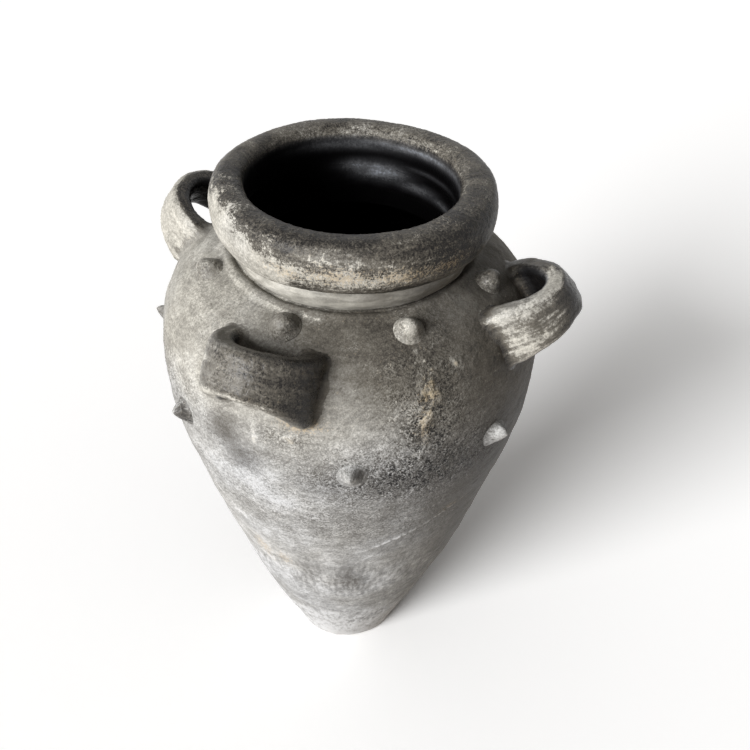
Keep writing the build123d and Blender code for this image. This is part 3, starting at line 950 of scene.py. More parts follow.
def turned_mesh(name, section, segments):
    """Turns a section round the jar's axis; points on the axis become poles."""
    turn = np.linspace(0.0, 2 * math.pi, segments, endpoint=False)
    circle = np.c_[np.cos(turn), np.sin(turn)]
    ring = np.arange(segments)
    after = (ring + 1) % segments
    points, outs, skins, insides, starts = [], [], [], [], []
    for radius, height, out_r, out_z, skin, inside in section.table():
        pole = radius < SAME_SPOT
        way = np.zeros((1, 2)) if pole else circle
        count = len(way)
        starts.append((sum(len(block) for block in points), pole))
        points.append(np.c_[radius * way, np.full(count, height)])
        outs.append(np.c_[out_r * way, np.full(count, out_z)])
        skins.append(np.full(count, skin))
        insides.append(np.full(count, inside))
    faces = []
    poled = any(pole for _, pole in starts)
    for index in range(len(starts) - 1 if poled else len(starts)):
        (low, low_pole), (high, high_pole) = starts[index], starts[(index + 1) % len(starts)]
        if low_pole:
            faces.append(np.c_[np.full(segments, low), high + after, high + ring])
        elif high_pole:
            faces.append(np.c_[low + ring, low + after, np.full(segments, high)])
        else:
            faces.append(np.c_[low + ring, low + after, high + after, high + ring])
    piece = clay_mesh(
        name, np.vstack(points), [tuple(face) for block in faces for face in block.tolist()],
        np.concatenate(skins), np.concatenate(insides),
    )
    store(piece.data, "out", np.vstack(outs), "FLOAT_VECTOR")
    return piece


def new_piece(name, mesh):
    """A mesh set in the scene as an object at the origin."""
    piece = bpy.data.objects.new(name, mesh)
    bpy.context.scene.collection.objects.link(piece)
    return piece


def clay_mesh(name, points, faces, skins, insides):
    """A smooth-shaded piece with its share of skin stored on its points."""
    mesh = bpy.data.meshes.new(name)
    mesh.from_pydata(points.tolist(), [], faces)
    mesh.shade_smooth()
    mesh.set_sharp_from_angle(angle=SHARP_FROM)
    store(mesh, "skin", skins)
    store(mesh, "inside", insides)
    return new_piece(name, mesh)


def tube_faces(rows, width):
    """Faces of a tube of points, with a fan from one more point at each of its two ends."""
    ring = np.arange(width)
    after = (ring + 1) % width
    faces = []
    for start in range(0, (rows - 1) * width, width):
        faces += np.c_[start + ring, start + after, start + width + after, start + width + ring].tolist()
    hub = rows * width
    last = hub - width
    faces += np.c_[np.full(width, hub), after, ring].tolist()
    faces += np.c_[np.full(width, hub + 1), last + ring, last + after].tolist()
    return faces


def ensure_outward(piece):
    """Turns a closed mesh inside out if it encloses less than nothing."""
    mesh = piece.data
    mesh.calc_loop_triangles()
    corners = np.empty(len(mesh.loop_triangles) * 3, np.int32)
    mesh.loop_triangles.foreach_get("vertices", corners)
    a, b, c = read_points(mesh)[corners.reshape(-1, 3).T]
    if np.einsum("ij,ij->i", a, np.cross(b, c)).sum() < 0:
        mesh.flip_normals()
        mesh.update()


def store(mesh, name, values, kind="FLOAT"):
    """Writes one value, or vector, for each point of a mesh; a single value goes to all of them."""
    layer = mesh.attributes.get(name) or mesh.attributes.new(name, kind, "POINT")
    count = len(mesh.vertices)
    field, shape = ("vector", (count, 3)) if kind == "FLOAT_VECTOR" else ("value", (count,))
    layer.data.foreach_set(field, np.array(np.broadcast_to(values, shape), np.float32).ravel())


def move_points(piece, points):
    """Sets a piece's points."""
    piece.data.vertices.foreach_set("co", points.astype(np.float32).ravel())
    piece.data.update()


def lay_on_wall(piece, lift, hold, wall_way):
    """Lets a piece's skin stray with the wall's where it meets it, and gives the way that it then faces."""
    share = np.clip(lift / hold, 0.0, 1.0)[:, None]
    way = normals_of(piece.data) * share + wall_way * (1.0 - share)
    store(piece.data, "out", way / np.linalg.norm(way, axis=1)[:, None], "FLOAT_VECTOR")
    return way


# Marks

def polar(points):
    """Azimuths of points in degrees, and how far they lie from the jar's axis."""
    return np.degrees(np.arctan2(points[:, 1], points[:, 0])), np.hypot(points[:, 0], points[:, 1])


def turn_from(start, azimuths):
    """Angles from one azimuth to others, the shorter way round."""
    return np.radians((azimuths - start + 180.0) % 360.0 - 180.0)


def patched(points, patches):
    """How strongly each point lies in any of the patches."""
    result = np.zeros(len(points))
    azimuths, radius = polar(points)
    for azimuth, height, width, tall, strength in patches:
        across = turn_from(azimuth, azimuths) * radius / width
        rise = (points[:, 2] - height) / tall
        result = np.maximum(result, strength * np.exp(-across ** 2 - rise ** 2))
    return result


def stroked(points, strokes):
    """How strongly each point lies on any of the strokes."""
    result = np.zeros(len(points))
    azimuths, radius = polar(points)
    for places, width, strength in strokes:
        middle = places[0][0]
        spot = np.c_[turn_from(middle, azimuths) * radius, points[:, 2]]
        knots = [
            np.c_[np.radians(turn - middle) * radius, np.full(len(points), rise)] for turn, rise in places
        ]
        for start, end in zip(knots, knots[1:]):
            run = end - start
            share = np.einsum("ij,ij->i", spot - start, run) / np.einsum("ij,ij->i", run, run)
            gap = np.linalg.norm(spot - start - run * share.clip(0.0, 1.0)[:, None], axis=1)
            result = np.maximum(result, strength * np.exp(-((gap / width) ** 2)))
    return result


def mark_piece(piece, **values):
    """Stores a piece's marks on its points; a mark that isn't given is nothing everywhere."""
    for name in MARKS:
        store(piece.data, name, values.get(name, 0.0))


def paint(piece, marks, strokes=()):
    """Paints a turned piece: its marks and strokes outside, partly painted light and shade, and the grey
    satin inside the mouth, partly painted highlight and reflection.
    """
    points = read_points(piece.data)
    inside = np.empty(len(points), np.float32)
    piece.data.attributes["inside"].data.foreach_get("value", inside)
    values = {name: patched(points, patches) * (1.0 - inside) for name, patches in marks.items()}
    values["ridge"] = stroked(points, strokes) * (1.0 - inside)
    values["satin_and_painted_sheen"] = patched(points, MOUTH_SATIN_AND_SHEEN) * inside
    mark_piece(piece, **values)


def finish_piece(piece, slot, nodes, **amounts):
    """Works a piece's skin, gives it its clay, and sets it in the frame."""
    sizes = bpy.context.scene.pithos_sizes
    values = {
        "Hand Wobble": sizes.hand_wobble,
        "Lumps": sizes.lumps,
        "Throwing Lines": sizes.throwing,
        "Grit": sizes.grit,
        "Pits": sizes.pits,
        "Crust": sizes.crust,
        "Ridge": sizes.ridge,
        "Crumbs": sizes.crumbs,
        "Seed": sizes.seed,
        "Clay": clay(slot),
    }
    values.update(amounts)
    run_tree(piece, bpy.data.node_groups.get("worked_clay_skin") or skin_tree(), **values)
    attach(piece, BODY)
    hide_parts(*nodes)


# The pieces

class PITHOS_OT_wall(bpy.types.Operator):
    """Makes the floor disc and the four stacked rings of the wall"""

    bl_idname = "pithos.wall"
    bl_label = "Wall"

    BEAD = 0.0030
    BEAD_PLACE = 0.0085
    BEAD_WIDTH = 0.0052
    GROOVE = 0.0030
    GROOVE_WIDTH = 0.0017
    DISC_SEGMENTS = 360
    DISC_ROWS = 24
    FOOT_ROWS = 12
    MOUTH_ROWS = 10
    SEGMENTS = {"lower_wall": 560, "flank_wall": 640, "belly_wall": 700, "shoulder_wall": 660}
    INNER_SPACING = {"lower_wall": 0.012, "flank_wall": 0.012, "belly_wall": 0.010, "shoulder_wall": 0.006}

    def execute(self, context):
        sizes = context.scene.pithos_sizes
        curve = WallCurve()
        self.floor_disc(curve, sizes)
        order = ("base_disc", *WALL_NODES, "neck_band")
        for below, name, above in zip(order, order[1:], order[2:]):
            self.ring(curve, sizes, below, name, above)
        return {"FINISHED"}

    def floor_disc(self, curve, sizes):
        """The floor: a thick disc with a rebated edge and a foot that is worn round."""
        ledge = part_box("lower_wall")[0].z
        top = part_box("base_disc")[1].z
        worn = sizes.foot_round
        skin = curve.stretch(0.0, ledge, 0.0, sizes.skin_grain)
        skin = [values[skin[1] > worn] for values in skin]
        lap = curve.at(ledge)[0] - sizes.wall / 2
        hub = curve.at(worn)[0] - worn
        turn = np.linspace(0.0, 0.5 * math.pi, self.FOOT_ROWS)[:-1]
        east, down = np.sin(turn), -np.cos(turn)
        section = Section()
        section.add(np.linspace(0.0, hub, self.DISC_ROWS)[:-1], 0.0, 0.0, -1.0)
        section.add(hub + worn * east, worn * (1.0 + down), east, down, east)
        section.add(*skin, 1.0)
        section.add([lap, lap, 0.0], [ledge, top, top], 0.0, 0.0, 0.0, 1.0)
        disc = turned_mesh("floor_disc", section, self.DISC_SEGMENTS)
        paint(disc, WALL_MARKS)
        finish_piece(disc, "wall_clay", ["base_disc"])

    def ring(self, curve, sizes, below, name, above):
        """One ring of wall with its skirt over the ring below and its tongue under the ring above."""
        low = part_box(name)[0].z
        skirt_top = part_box(below)[1].z
        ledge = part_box(above)[0].z
        tongue_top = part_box(name)[1].z
        topmost = above == "neck_band"
        skirt = curve.at(low)[0] - sizes.wall / 2 + sizes.slip_gap
        skin = curve.stretch(low, ledge, 0.0, sizes.skin_grain)
        inner_top = ledge if topmost else tongue_top
        inner = curve.stretch(skirt_top, inner_top, sizes.wall, self.INNER_SPACING[name])
        radius, height, out_r, out_z = (values[::-1] for values in inner)
        section = Section()
        if topmost:
            mouth = node_radius("neck_band", min)
            lap = (mouth + node_radius("neck_band", max)) / 2
            section.add(*self.beaded(*skin), 1.0)
            section.add([lap, lap], [ledge, tongue_top])
            section.add(mouth, np.linspace(tongue_top, height[0], self.MOUTH_ROWS), -1.0, 0.0, 1.0, 1.0)
        else:
            lap = curve.at(ledge)[0] - sizes.wall / 2
            section.add(*skin, 1.0)
            section.add([lap, lap], [ledge, tongue_top])
        section.add(radius, height, -out_r, -out_z, 1.0, 1.0)
        section.add([skirt, skirt], [skirt_top, low])
        ring = turned_mesh(name.replace("_wall", "_ring"), section, self.SEGMENTS[name])
        paint(ring, WALL_MARKS, WALL_STROKES)
        finish_piece(ring, "wall_clay", [name])

    def beaded(self, radius, height, out_r, out_z):
        """A worn bead pressed up round the shoulder's edge, and the groove between it and the neck."""
        run = run_along(np.c_[radius, height])
        left = run[-1] - run
        lift = self.BEAD * np.exp(-((left - self.BEAD_PLACE) / self.BEAD_WIDTH) ** 2)
        lift -= self.GROOVE * np.exp(-(left / self.GROOVE_WIDTH) ** 2)
        return radius + out_r * lift, height + out_z * lift, out_r, out_z


class PITHOS_OT_neck_and_rim(bpy.types.Operator):
    """Makes the neck band and the rolled rim"""

    bl_idname = "pithos.neck_and_rim"
    bl_label = "Neck and Rim"

    SEGMENTS = 560
    NECK_ROWS = 24
    NECK_MOUTH_ROWS = 14
    NECK_SWELL = 0.0070
    NECK_SINK = 0.0045
    NECK_ARC = (0.10, 0.90)
    NECK_UNDERCUT = 0.0016
    UNDERCUT_FADE = 12.0
    NECK_GRIT = 0.5
    RIM_LINE = 2000
    RIM_MOUTH_ROWS = 8
    RIM_LUMPS = 0.5
    ROLL_POWER = 2.15
    LIP_POWER = 3.4
    LIP_DROP = 0.010
    LIP_FADE = 0.008
    HANG = 0.006
    HANG_PLACE = (228, 0.755, 0.11, 0.1, 1.0)
    OUTER_FADE = 0.012
    OFF_CENTRE = (0.0022, 0.0009)

    def execute(self, context):
        sizes = context.scene.pithos_sizes
        mouth = node_radius("neck_band", min)
        band = node_radius("neck_band", max)
        self.neck(sizes, mouth, band)
        self.rim(sizes, mouth, band)
        return {"FINISHED"}

    def neck(self, sizes, mouth, band):
        """An upright band, swollen a little at its middle, that overhangs the groove at its foot."""
        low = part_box("neck_band")[0].z
        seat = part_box("rim_roll")[0].z
        tongue_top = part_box("neck_band")[1].z
        skirt_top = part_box("shoulder_wall")[1].z
        lap = (mouth + band) / 2
        rise = np.linspace(0.0, 1.0, self.NECK_ROWS)
        arc = np.interp(rise, (0.0, 1.0), self.NECK_ARC)
        swell = self.NECK_SWELL * np.sin(arc * math.pi) - self.NECK_SINK
        radius = band + swell - self.NECK_UNDERCUT * np.exp(-rise * self.UNDERCUT_FADE)
        height = low + rise * (seat - low)
        inside = np.linspace(tongue_top, skirt_top, self.NECK_MOUTH_ROWS)
        section = Section()
        section.add(radius, height, *line_facing(radius, height), 1.0)
        section.add([lap, lap], [seat, tongue_top])
        section.add(mouth, inside, -1.0, 0.0, 1.0, 1.0)
        section.add([lap + sizes.slip_gap] * 2, [skirt_top, low])
        neck = turned_mesh("neck_ring", section, self.SEGMENTS)
        paint(neck, NECK_MARKS)
        finish_piece(neck, "neck_clay", ["neck_band"], Grit=sizes.grit * self.NECK_GRIT)

    def rim(self, sizes, mouth, band):
        """A fat oval roll over the neck."""
        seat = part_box("rim_roll")[0].z
        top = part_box("rim_roll")[1].z
        lap_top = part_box("neck_band")[1].z
        outside = node_radius("rim_roll", max)
        lap = (mouth + band) / 2
        points = node_points("rim_roll")
        widest = np.hypot(points[:, 0], points[:, 1]) > outside - SAME_LEVEL
        middle = float(points[widest, 2].mean())
        half_wide = (outside - mouth) / 2
        centre = mouth + half_wide
        turn = np.linspace(-0.5 * math.pi, math.pi, self.RIM_LINE)
        power = np.where(turn > math.pi / 2, 2 / self.LIP_POWER, 2 / self.ROLL_POWER)
        east, up = np.cos(turn), np.sin(turn)
        line = np.c_[
            centre + half_wide * np.sign(east) * np.abs(east) ** power,
            middle + (top - middle) * np.sign(up) * np.abs(up) ** power,
        ]
        line = line[line[:, 1] > seat]
        run = run_along(line)
        even = np.linspace(0.0, run[-1], int(run[-1] / sizes.skin_grain))
        radius, height = (np.interp(even, run, values) for values in line.T)
        inner = np.clip((top - self.LIP_DROP - height) / self.LIP_FADE, 0.0, 1.0) * (radius < centre)
        below = np.linspace(middle, lap_top, self.RIM_MOUTH_ROWS)[1:]
        section = Section()
        section.add(radius, height, *line_facing(radius, height), 1.0, inner)
        section.add(mouth, below, -1.0, 0.0, 1.0, 1.0)
        section.add([lap + sizes.slip_gap] * 2, [lap_top, seat])
        rim = turned_mesh("rolled_rim", section, self.SEGMENTS)
        self.hang(rim, band, middle, seat)
        paint(rim, RIM_MARKS)
        finish_piece(rim, "rim_clay", ["rim_roll"], Lumps=sizes.lumps * self.RIM_LUMPS)

    def hang(self, rim, band, middle, seat):
        """Lets the roll's underside hang lower on one side, and its outside sit a little off centre."""
        points = read_points(rim.data)
        over = np.hypot(points[:, 0], points[:, 1]) - band
        below = np.clip((middle - points[:, 2]) / (middle - seat), 0.0, 1.0)
        points[:, 2] -= self.HANG * patched(points, [self.HANG_PLACE]) * below * (over > 0.0)
        points[:, :2] += np.outer(np.clip(over / self.OUTER_FADE, 0.0, 1.0), self.OFF_CENTRE)
        move_points(rim, points)


class PITHOS_OT_handles(bpy.types.Operator):
    """Makes the four strap handles"""

    bl_idname = "pithos.handles"
    bl_label = "Handles"

    LINE = 600
    ALONG = 0.0015
    CORNER = 9
    FACE = 34
    EDGE = 4
    EDGE_MOST = 0.96
    SWELL = 0.0016
    THIN_POWER = 0.8
    WAVE = 0.0015
    WAVES = 9.0
    WAVE_SHIFT = 3.0
    LOW_WAVE = 0.6
    HOLLOW_RISE = 3.0
    ROOT_RUN = 0.026
    ROOT_DEPTH = 0.006
    ROOT_FEATHER = 0.0006
    ROOT_FADE = 0.014
    ROOT_MARK = 0.008
    ROOT_OCHRE = 0.30
    ROOT_CRUST = 0.15
    HOLLOW_SATIN_AND_SHEEN = 0.45
    WALL_HOLD = 0.012
    SMEAR_WAVES = ((3.0, 0.35), (7.0, 0.20))

    def execute(self, context):
        sizes = context.scene.pithos_sizes
        curve = WallCurve()
        for number, name in enumerate(HANDLE_NODES):
            self.strap(curve, sizes, name, number)
        return {"FINISHED"}

    def seat(self, curve, name, middle, lift):
        """Where a strap's middle meets the wall, and its three ways: along, out of and up the wall."""
        azimuth = node_azimuth(name)[0]
        radius, out_r, out_z = (float(value) for value in curve.at(middle))
        east, north = math.cos(azimuth), math.sin(azimuth)
        side = np.array([north, -east, 0.0])
        out = np.array([out_r * east, out_r * north, out_z])
        up = np.cross(side, out)
        return np.array([radius * east, radius * north, middle]) + up * lift, np.array([side, out, up])

    def bent_line(self, half_span, reach, bend):
        """Even places on a strap's middle line: how far along it, sideways and out."""
        turn = np.linspace(0.0, math.pi, self.LINE)
        east, up = np.cos(turn), np.sin(turn)
        power = 2 / bend
        line = np.c_[half_span * np.sign(east) * np.abs(east) ** power, reach * up ** power]
        line = np.vstack([[half_span, -self.ROOT_RUN], line, [-half_span, -self.ROOT_RUN]])
        run = run_along(line)
        even = np.linspace(0.0, run[-1], int(run[-1] / self.ALONG))
        return even, np.interp(even, run, line[:, 0]), np.interp(even, run, line[:, 1])

    def outline(self, half_thick, low, high, corner):
        """One rounded section: offsets out of the loop and up the wall, and their outward directions."""
        corner = min(corner, half_thick * self.EDGE_MOST)
        wide = half_thick - corner
        corners = (
            (wide, high - corner, 0.0), (-wide, high - corner, 90.0),
            (-wide, low + corner, 180.0), (wide, low + corner, 270.0),
        )
        parts = []
        for index, (x, z, begin) in enumerate(corners):
            turn = np.radians(np.linspace(begin, begin + 90.0, self.CORNER))
            arc = np.c_[x + corner * np.cos(turn), z + corner * np.sin(turn), np.cos(turn), np.sin(turn)]
            x_next, z_next, begin_next = corners[(index + 1) % len(corners)]
            aim = math.radians(begin_next)
            facing = np.array([math.cos(aim), math.sin(aim)])
            end = np.array([x_next, z_next]) + corner * facing
            count = self.EDGE if index % 2 == 0 else self.FACE
            share = np.linspace(0.0, 1.0, count + 2)[1:-1, None]
            flat = arc[-1, :2] * (1 - share) + end * share
            parts += [arc, np.c_[flat, np.tile(facing, (count, 1))]]
        return np.vstack(parts)

    def section(self, sizes, shape, thick, share, along, sway):
        """One section of a strap, swollen on its faces and tilted toward its crown."""
        wave = self.WAVE * math.sin(along * self.WAVES + sway * self.WAVE_SHIFT)
        high = sizes.root_above + (sizes.crown_above - sizes.root_above) * share + wave
        root_low = sizes.root_below + shape.root_below
        crown_low = sizes.crown_below + shape.crown_below
        low = -root_low + (root_low - crown_low) * share + wave * self.LOW_WAVE
        ring = self.outline(thick, low, high, sizes.strap_edge)
        breadth = (ring[:, 1] - (high + low) / 2) / ((high - low) / 2)
        ring[:, 0] += self.SWELL * (1.0 - breadth ** 2) * np.sign(ring[:, 0])
        ring[:, 0] -= share * max(shape.tilt, 0.0) * ring[:, 1].clip(0.0)
        ring[:, 0] += share * min(shape.tilt, 0.0) * (-ring[:, 1]).clip(0.0)
        return ring

    def rooted(self, curve, smear, points, normals, width, sway):
        """A strap's points with its roots smeared onto the wall, their lift off it and the wall's facing."""
        lift, wall_way = above_wall(curve, points)
        points = points + wall_way * np.clip(-self.ROOT_DEPTH - lift, 0.0, None)[:, None]
        lift = np.maximum(lift, -self.ROOT_DEPTH)
        turn = np.arange(len(points)) % width * (2 * math.pi / width)
        (slow, deep), (quick, shallow) = self.SMEAR_WAVES
        uneven = deep * np.sin(turn * slow + sway * self.WAVE_SHIFT) + shallow * np.sin(turn * quick)
        spread = smear * (1.0 + uneven)
        bite = np.clip(spread - lift - self.ROOT_FEATHER, 0.0, spread)
        points += normals * (spread - np.sqrt(spread ** 2 - bite ** 2))[:, None]
        lift_now, way_now = above_wall(curve, points)
        points += way_now * (lift - lift_now)[:, None]
        return points, lift, wall_way

    def strap(self, curve, sizes, name, number):
        """A strap bent sideways from wall to wall, its roots smeared onto the wall."""
        shape = STRAP_SHAPE[name]
        handle_reach = sizes.handle_reach + shape.reach
        loop_reach = sizes.loop_reach + shape.reach + shape.gap
        reach = (handle_reach + loop_reach) / 2
        half_span = (sizes.handle_span + sizes.loop_span) / 4
        thick_root = (sizes.handle_span - sizes.loop_span) / 4
        thick_crown = (handle_reach - loop_reach) / 2
        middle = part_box("neck_band")[0].z - sizes.handle_drop
        seat, axes = self.seat(curve, name, middle, shape.lift)
        even, across, off = self.bent_line(half_span, reach, shape.bend)
        away = np.c_[np.gradient(off), -np.gradient(across)]
        away /= np.hypot(*away.T)[:, None]
        sway = np.random.default_rng(sizes.seed + number).uniform(-1.0, 1.0, 2)

        # Each row holds points, the way they face, their wear and painted shade, their chalk and painted
        # highlight, the painted shade inside the loop, and places on the strap
        rows = []
        for run, x, y, (away_x, away_y) in zip(even, across, off, away):
            share = float(np.clip(y / reach, 0.0, 1.0))
            along = run / even[-1]
            thick = thick_root + (thick_crown - thick_root) * share ** self.THIN_POWER
            ring = self.section(sizes, shape, thick, share, along, sway[0])
            aside, rise, face, edge = ring.T
            rows.append(np.c_[
                seat + np.c_[x + away_x * aside, y + away_y * aside, rise] @ axes,
                np.c_[away_x * face, away_y * face, edge] @ axes,
                self.wear_and_painted_shade(name, face, edge, along, share),
                self.chalk(name, face, edge, along),
                np.clip(-face, 0.0, 1.0) * min(share * self.HOLLOW_RISE, 1.0),
                np.full(len(ring), run + number), rise, aside,
            ])
        table = np.vstack(rows)
        width = len(rows[0])

        # Both ends, which are hidden in the wall, close on one more point
        points, lift, wall_way = self.rooted(
            curve, sizes.root_smear, table[:, 0:3], table[:, 3:6], width, sway[1]
        )
        points = np.vstack([points, points[:width].mean(axis=0), points[-width:].mean(axis=0)])
        wall_way = np.vstack([wall_way, axes[1], axes[1]])
        lift = np.r_[lift, 0.0, 0.0]
        painted = np.vstack([table[:, 6:], np.zeros((2, 6))])
        strap = clay_mesh(name.replace("handle", "strap"), points, tube_faces(len(rows), width), 1.0, 0.0)
        ensure_outward(strap)
        lay_on_wall(strap, lift, self.WALL_HOLD, wall_way)
        self.paint_strap(strap, name, points, lift, painted)
        finish_piece(strap, "handle_clay", [name])

    def paint_strap(self, strap, name, points, lift, painted):
        """Paints a strap with its own wear, chalk and painted light and shade, the inside of its loop dark as
        painted shade, and its roots with the wall's marks.
        """
        wear_and_painted_shade, chalk, loop_painted_shade = painted[:, :3].T
        root = np.exp(-(lift / self.ROOT_MARK) ** 2)
        loop_painted_shade = loop_painted_shade * (1.0 - root)
        store(strap.data, "run", painted[:, 3:], "FLOAT_VECTOR")
        # The inside of the loop is stored as the jar's dark inside: painted shade
        store(strap.data, "inside", loop_painted_shade)
        own = {
            "dust": np.clip(wear_and_painted_shade, 0.0, 1.0),
            "soot": np.clip(-wear_and_painted_shade, 0.0, 1.0),
            "ochre": root * self.ROOT_OCHRE * (1.0 - loop_painted_shade),
            "coarse": STRAP_WEAR_AND_SHADE[name].coarse * (1.0 - loop_painted_shade),
        }
        marks = {
            mark: values * (1.0 - root) + patched(points, WALL_MARKS[mark]) * root
            for mark, values in own.items()
        }
        marks["chalk"] = chalk * np.clip(lift / self.ROOT_FADE, 0.0, 1.0)
        marks["crust"] = root * self.ROOT_CRUST
        marks["satin_and_painted_sheen"] = loop_painted_shade * self.HOLLOW_SATIN_AND_SHEEN
        mark_piece(strap, **marks)

    def chalk(self, name, face, edge, along):
        """Chalk of one section, partly a painted highlight: on its outer face, its top edge and its outer
        lower corner.
        """
        chalk = STRAP_CHALK_AND_LIGHT[name]
        on_face = chalk.face * math.exp(-((along - chalk.face_at) / chalk.face_width) ** 2)
        on_top = chalk.top * math.exp(-((along - chalk.top_at) / chalk.top_width) ** 2)
        low = chalk.low * np.clip(-2.0 * face * edge, 0.0, 1.0) * (face > 0.0) * (1.0 - along)
        return np.clip(face, 0.0, 1.0) * on_face + np.clip(edge, 0.0, 1.0) * on_top + low

    def wear_and_painted_shade(self, name, face, edge, along, share):
        """Paling and darkening of one section: on its outer face, its two edges, its inside, where it is
        painted shade, and along its run.
        """
        wear_and_painted_shade = STRAP_WEAR_AND_SHADE[name]
        inward = np.clip(-face, 0.0, 1.0)
        own = np.clip(face, 0.0, 1.0) * wear_and_painted_shade.face + inward * wear_and_painted_shade.inside
        own += np.clip(edge, 0.0, 1.0) * wear_and_painted_shade.top + np.clip(-edge, 0.0, 1.0) * wear_and_painted_shade.bottom
        run = (1 - along) ** 2 * wear_and_painted_shade.start + along ** 2 * wear_and_painted_shade.end + share ** 2 * wear_and_painted_shade.crown
        return own + (1.0 - inward) * run


class PITHOS_OT_knobs(bpy.types.Operator):
    """Presses the sixteen knobs onto the shoulder and the belly"""

    bl_idname = "pithos.knobs"
    bl_label = "Knobs"

    GIRTH = (0.94, 1.06)
    ROOT = 0.004
    SMEAR = 0.0035
    WALL_HOLD = 0.006
    DUST = 0.08
    TIP_DUST = 0.30
    TIP_OCHRE = 0.10
    FOOT_CRUST = 0.2
    FOOT_HOLD = 0.003
    COARSE = 0.30
    LEE_PAINTED_SHADE = 0.7

    def execute(self, context):
        sizes = context.scene.pithos_sizes
        curve = WallCurve()
        rng = np.random.default_rng(sizes.seed)
        tree = knob_tree()
        for number, name in enumerate(KNOB_NODES):
            self.knob(curve, sizes, tree, name, number, rng)
        return {"FINISHED"}

    def seat(self, curve, name):
        """Where a knob's axis meets the skin, and the way it points."""
        azimuth, centre = node_azimuth(name)
        east, north = math.cos(azimuth), math.sin(azimuth)
        gap = (curve.radius - math.hypot(centre[0], centre[1])) ** 2 + (curve.height - centre[2]) ** 2
        near = int(gap.argmin())
        radius, out_r = curve.radius[near], curve.out_r[near]
        spot = Vector((radius * east, radius * north, curve.height[near]))
        return spot, Vector((out_r * east, out_r * north, curve.out_z[near]))

    def knob(self, curve, sizes, tree, name, number, rng):
        """One knob: pressed by the tree, set on the skin, then worked like the rest."""
        press = KNOB_PRESS[name.split("_")[0]]
        spot, way = self.seat(curve, name)
        mesh = bpy.data.meshes.new(name)
        mesh.from_pydata([(0, 0, 0)], [], [])
        knob = new_piece(name.replace("_knob", "_boss"), mesh)
        run_tree(
            knob, tree, Radius=sizes.knob_radius * rng.uniform(*self.GIRTH),
            Height=sizes.knob_height * rng.uniform(*press.tall), Root=self.ROOT, Smear=self.SMEAR,
            Lean=rng.uniform(*press.lean), Pinch=rng.uniform(*press.pinch), Point=rng.uniform(*press.point),
            Seed=number, Clay=clay("knob_clay"),
        )
        turn = way.to_track_quat("Z", "Y").to_matrix().to_4x4()
        spin = Matrix.Rotation(rng.uniform(*press.turn), 4, "Z")
        knob.data.transform(Matrix.Translation(spot) @ turn @ spin)
        knob.data.shade_smooth()
        ensure_outward(knob)

        # The foot follows the wall's curve
        points = read_points(knob.data)
        lift = (points - np.array(spot)) @ np.array(way)
        sag, wall_way = above_wall(curve, points - np.outer(lift, way))
        points -= wall_way * sag[:, None]
        move_points(knob, points)
        facing = lay_on_wall(knob, lift, self.WALL_HOLD, wall_way)
        store(knob.data, "skin", 1.0)
        store(knob.data, "inside", 0.0)

        # The tip is rubbed pale; the side turned from the window is darkened as painted shade, and the chalk
        # is kept off it, so that on the lit side it is partly a painted highlight
        high = np.clip(lift / sizes.knob_height, 0.0, 1.0)
        shaded_side = np.clip(facing @ np.array((-way.y, way.x, 0.0)), 0.0, 1.0)
        mark_piece(
            knob, dust=self.DUST + self.TIP_DUST * high, ochre=self.TIP_OCHRE * high,
            crust=self.FOOT_CRUST * np.exp(-((lift / self.FOOT_HOLD) ** 2)), coarse=self.COARSE,
            chalk=press.chalk * np.sqrt(high) * (1.0 - shaded_side),
            soot=patched(points, KNOB_DARKENING) + self.LEE_PAINTED_SHADE * shaded_side,
        )
        finish_piece(knob, "knob_clay", [name], **{"Crumbs": 0.0, "Throwing Lines": 0.0})


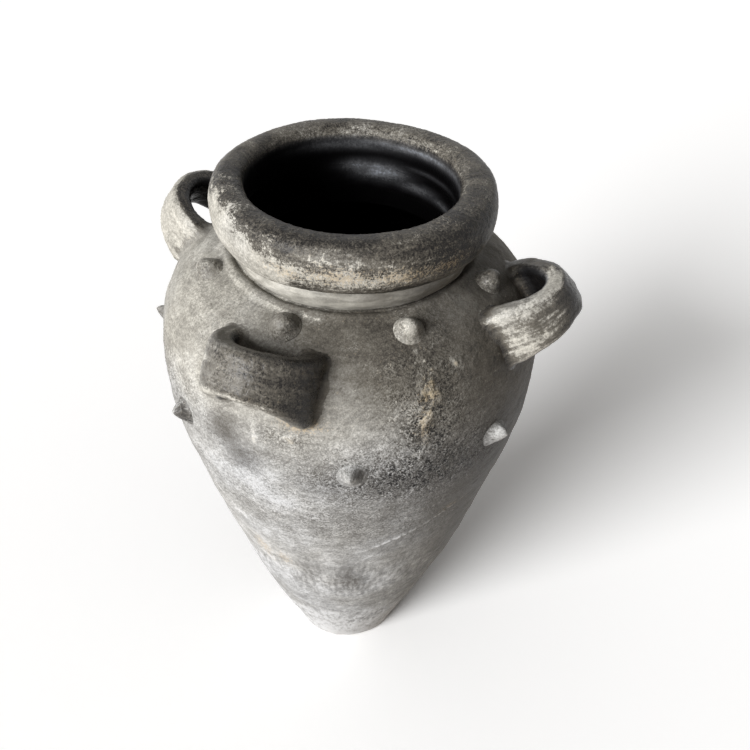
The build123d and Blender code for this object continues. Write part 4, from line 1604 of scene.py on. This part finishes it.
class PITHOS_OT_stage(bpy.types.Operator):
    """Lays the floor and sets the lamps and the camera"""

    bl_idname = "pithos.stage"
    bl_label = "Stage"

    SHADE_SAMPLES = 16
    SHADE_POWER = 2.4
    LAMP_AWAY = 3.0

    def execute(self, context):
        stage = context.scene.pithos_stage
        self.floor(stage, context.scene.pithos_colours)
        self.lamps(context.scene, stage)
        self.camera(context.scene, stage)
        context.scene.view_settings.view_transform = "Standard"
        return {"FINISHED"}

    def seen(self, w):
        """One where the camera looks, straight or by a mirror or glass, else nothing."""
        path = w.node("ShaderNodeLightPath").outputs
        mirrored = w.maths("MAXIMUM", path["Is Glossy Ray"], path["Is Transmission Ray"])
        return w.maths("MAXIMUM", path["Is Camera Ray"], mirrored)

    def floor(self, stage, colours):
        """A plain white floor that keeps the jar's shadow, and a painted shadow round the jar's foot where
        its white fades.
        """
        half = stage.floor_side / 2
        corners = [(-half, -half, 0), (half, -half, 0), (half, half, 0), (-half, half, 0)]
        mesh = bpy.data.meshes.new("floor")
        mesh.from_pydata(corners, [], [(0, 1, 2, 3)])
        material = bpy.data.materials.new("studio_floor")
        w = Wires.fresh(material)
        seen = self.seen(w)
        open_sky = w.out(
            "ShaderNodeAmbientOcclusion", {"Distance": stage.floor_shade}, "AO", samples=self.SHADE_SAMPLES
        )
        # The white that the camera sees fades near the jar by ambient occlusion: a painted shadow round its
        # foot
        lift = w.product(seen, w.maths("POWER", open_sky, self.SHADE_POWER), stage.floor_lift)
        colour = w.blend(seen, colours.floor_bounce, colours.floor)
        matte = w.out("ShaderNodeBsdfDiffuse", {"Color": colour})
        glow = w.out("ShaderNodeEmission", {"Strength": lift})
        w.node("ShaderNodeOutputMaterial", {0: w.out("ShaderNodeAddShader", {0: matte, 1: glow})})
        mesh.materials.append(material)
        new_piece("floor", mesh)

    def lamps(self, scene, stage):
        """One broad window light from the front left, and a white room."""
        lamp = bpy.data.lights.new("window_light", "SUN")
        lamp.angle = stage.key_width
        lamp.energy = stage.key_strength
        turn, rise = stage.key_azimuth, stage.key_height
        level = math.cos(rise)
        way = Vector((math.cos(turn) * level, math.sin(turn) * level, math.sin(rise)))
        window = bpy.data.objects.new("window_light", lamp)
        window.location = way * self.LAMP_AWAY
        window.rotation_euler = way.to_track_quat("Z", "Y").to_euler()
        scene.collection.objects.link(window)
        scene.world = bpy.data.worlds.new("room")
        w = Wires.fresh(scene.world)
        seen = self.seen(w)
        strength = w.ease(seen, 0.0, 1.0, stage.room_light, 1.0)
        colour = w.blend(seen, stage.room_colour, WHITE)
        room = w.out("ShaderNodeBackground", {"Color": colour, "Strength": strength})
        w.node("ShaderNodeOutputWorld", {0: room})

    def camera(self, scene, stage):
        """The camera at the height and angle of a standing viewer."""
        data = bpy.data.cameras.new("camera")
        data.lens = stage.lens
        camera = bpy.data.objects.new("camera", data)
        turn = Vector(stage.camera_look).to_track_quat("-Z", "Y").to_matrix().to_4x4()
        roll = Matrix.Rotation(stage.camera_roll, 4, "Z")
        camera.matrix_world = Matrix.Translation(stage.camera_place) @ turn @ roll
        scene.collection.objects.link(camera)
        scene.camera = camera


class PITHOS_PT_panel(bpy.types.Panel):
    """Lists the jar's pieces and the stage"""

    bl_idname = "PITHOS_PT_panel"
    bl_label = "Pithos"
    bl_space_type = "VIEW_3D"
    bl_region_type = "UI"
    bl_category = "Pithos"

    def draw(self, context):
        for operator in OPERATORS:
            self.layout.operator(operator.bl_idname)
        for group in GROUPS:
            values = getattr(context.scene, group)
            for name in values.bl_rna.properties.keys():
                if name not in ("rna_type", "name"):
                    self.layout.prop(values, name)


OPERATORS = (PITHOS_OT_wall, PITHOS_OT_neck_and_rim, PITHOS_OT_handles, PITHOS_OT_knobs, PITHOS_OT_stage)
GROUPS = {"pithos_sizes": PithosSizes, "pithos_colours": PithosColours, "pithos_stage": PithosStage}


def register():
    """Makes the operators, the panel and the values known to Blender."""
    for cls in (*GROUPS.values(), *OPERATORS, PITHOS_PT_panel):
        bpy.utils.register_class(cls)
    for name, group in GROUPS.items():
        setattr(bpy.types.Scene, name, PointerProperty(type=group))


def unregister():
    """Takes them away again."""
    for name in GROUPS:
        delattr(bpy.types.Scene, name)
    for cls in reversed((*GROUPS.values(), *OPERATORS, PITHOS_PT_panel)):
        bpy.utils.unregister_class(cls)


def main():
    """Makes every piece and the stage."""
    register()
    bpy.ops.pithos.wall()
    bpy.ops.pithos.neck_and_rim()
    bpy.ops.pithos.handles()
    bpy.ops.pithos.knobs()
    bpy.ops.pithos.stage()


if __name__ == "__main__":
    main()
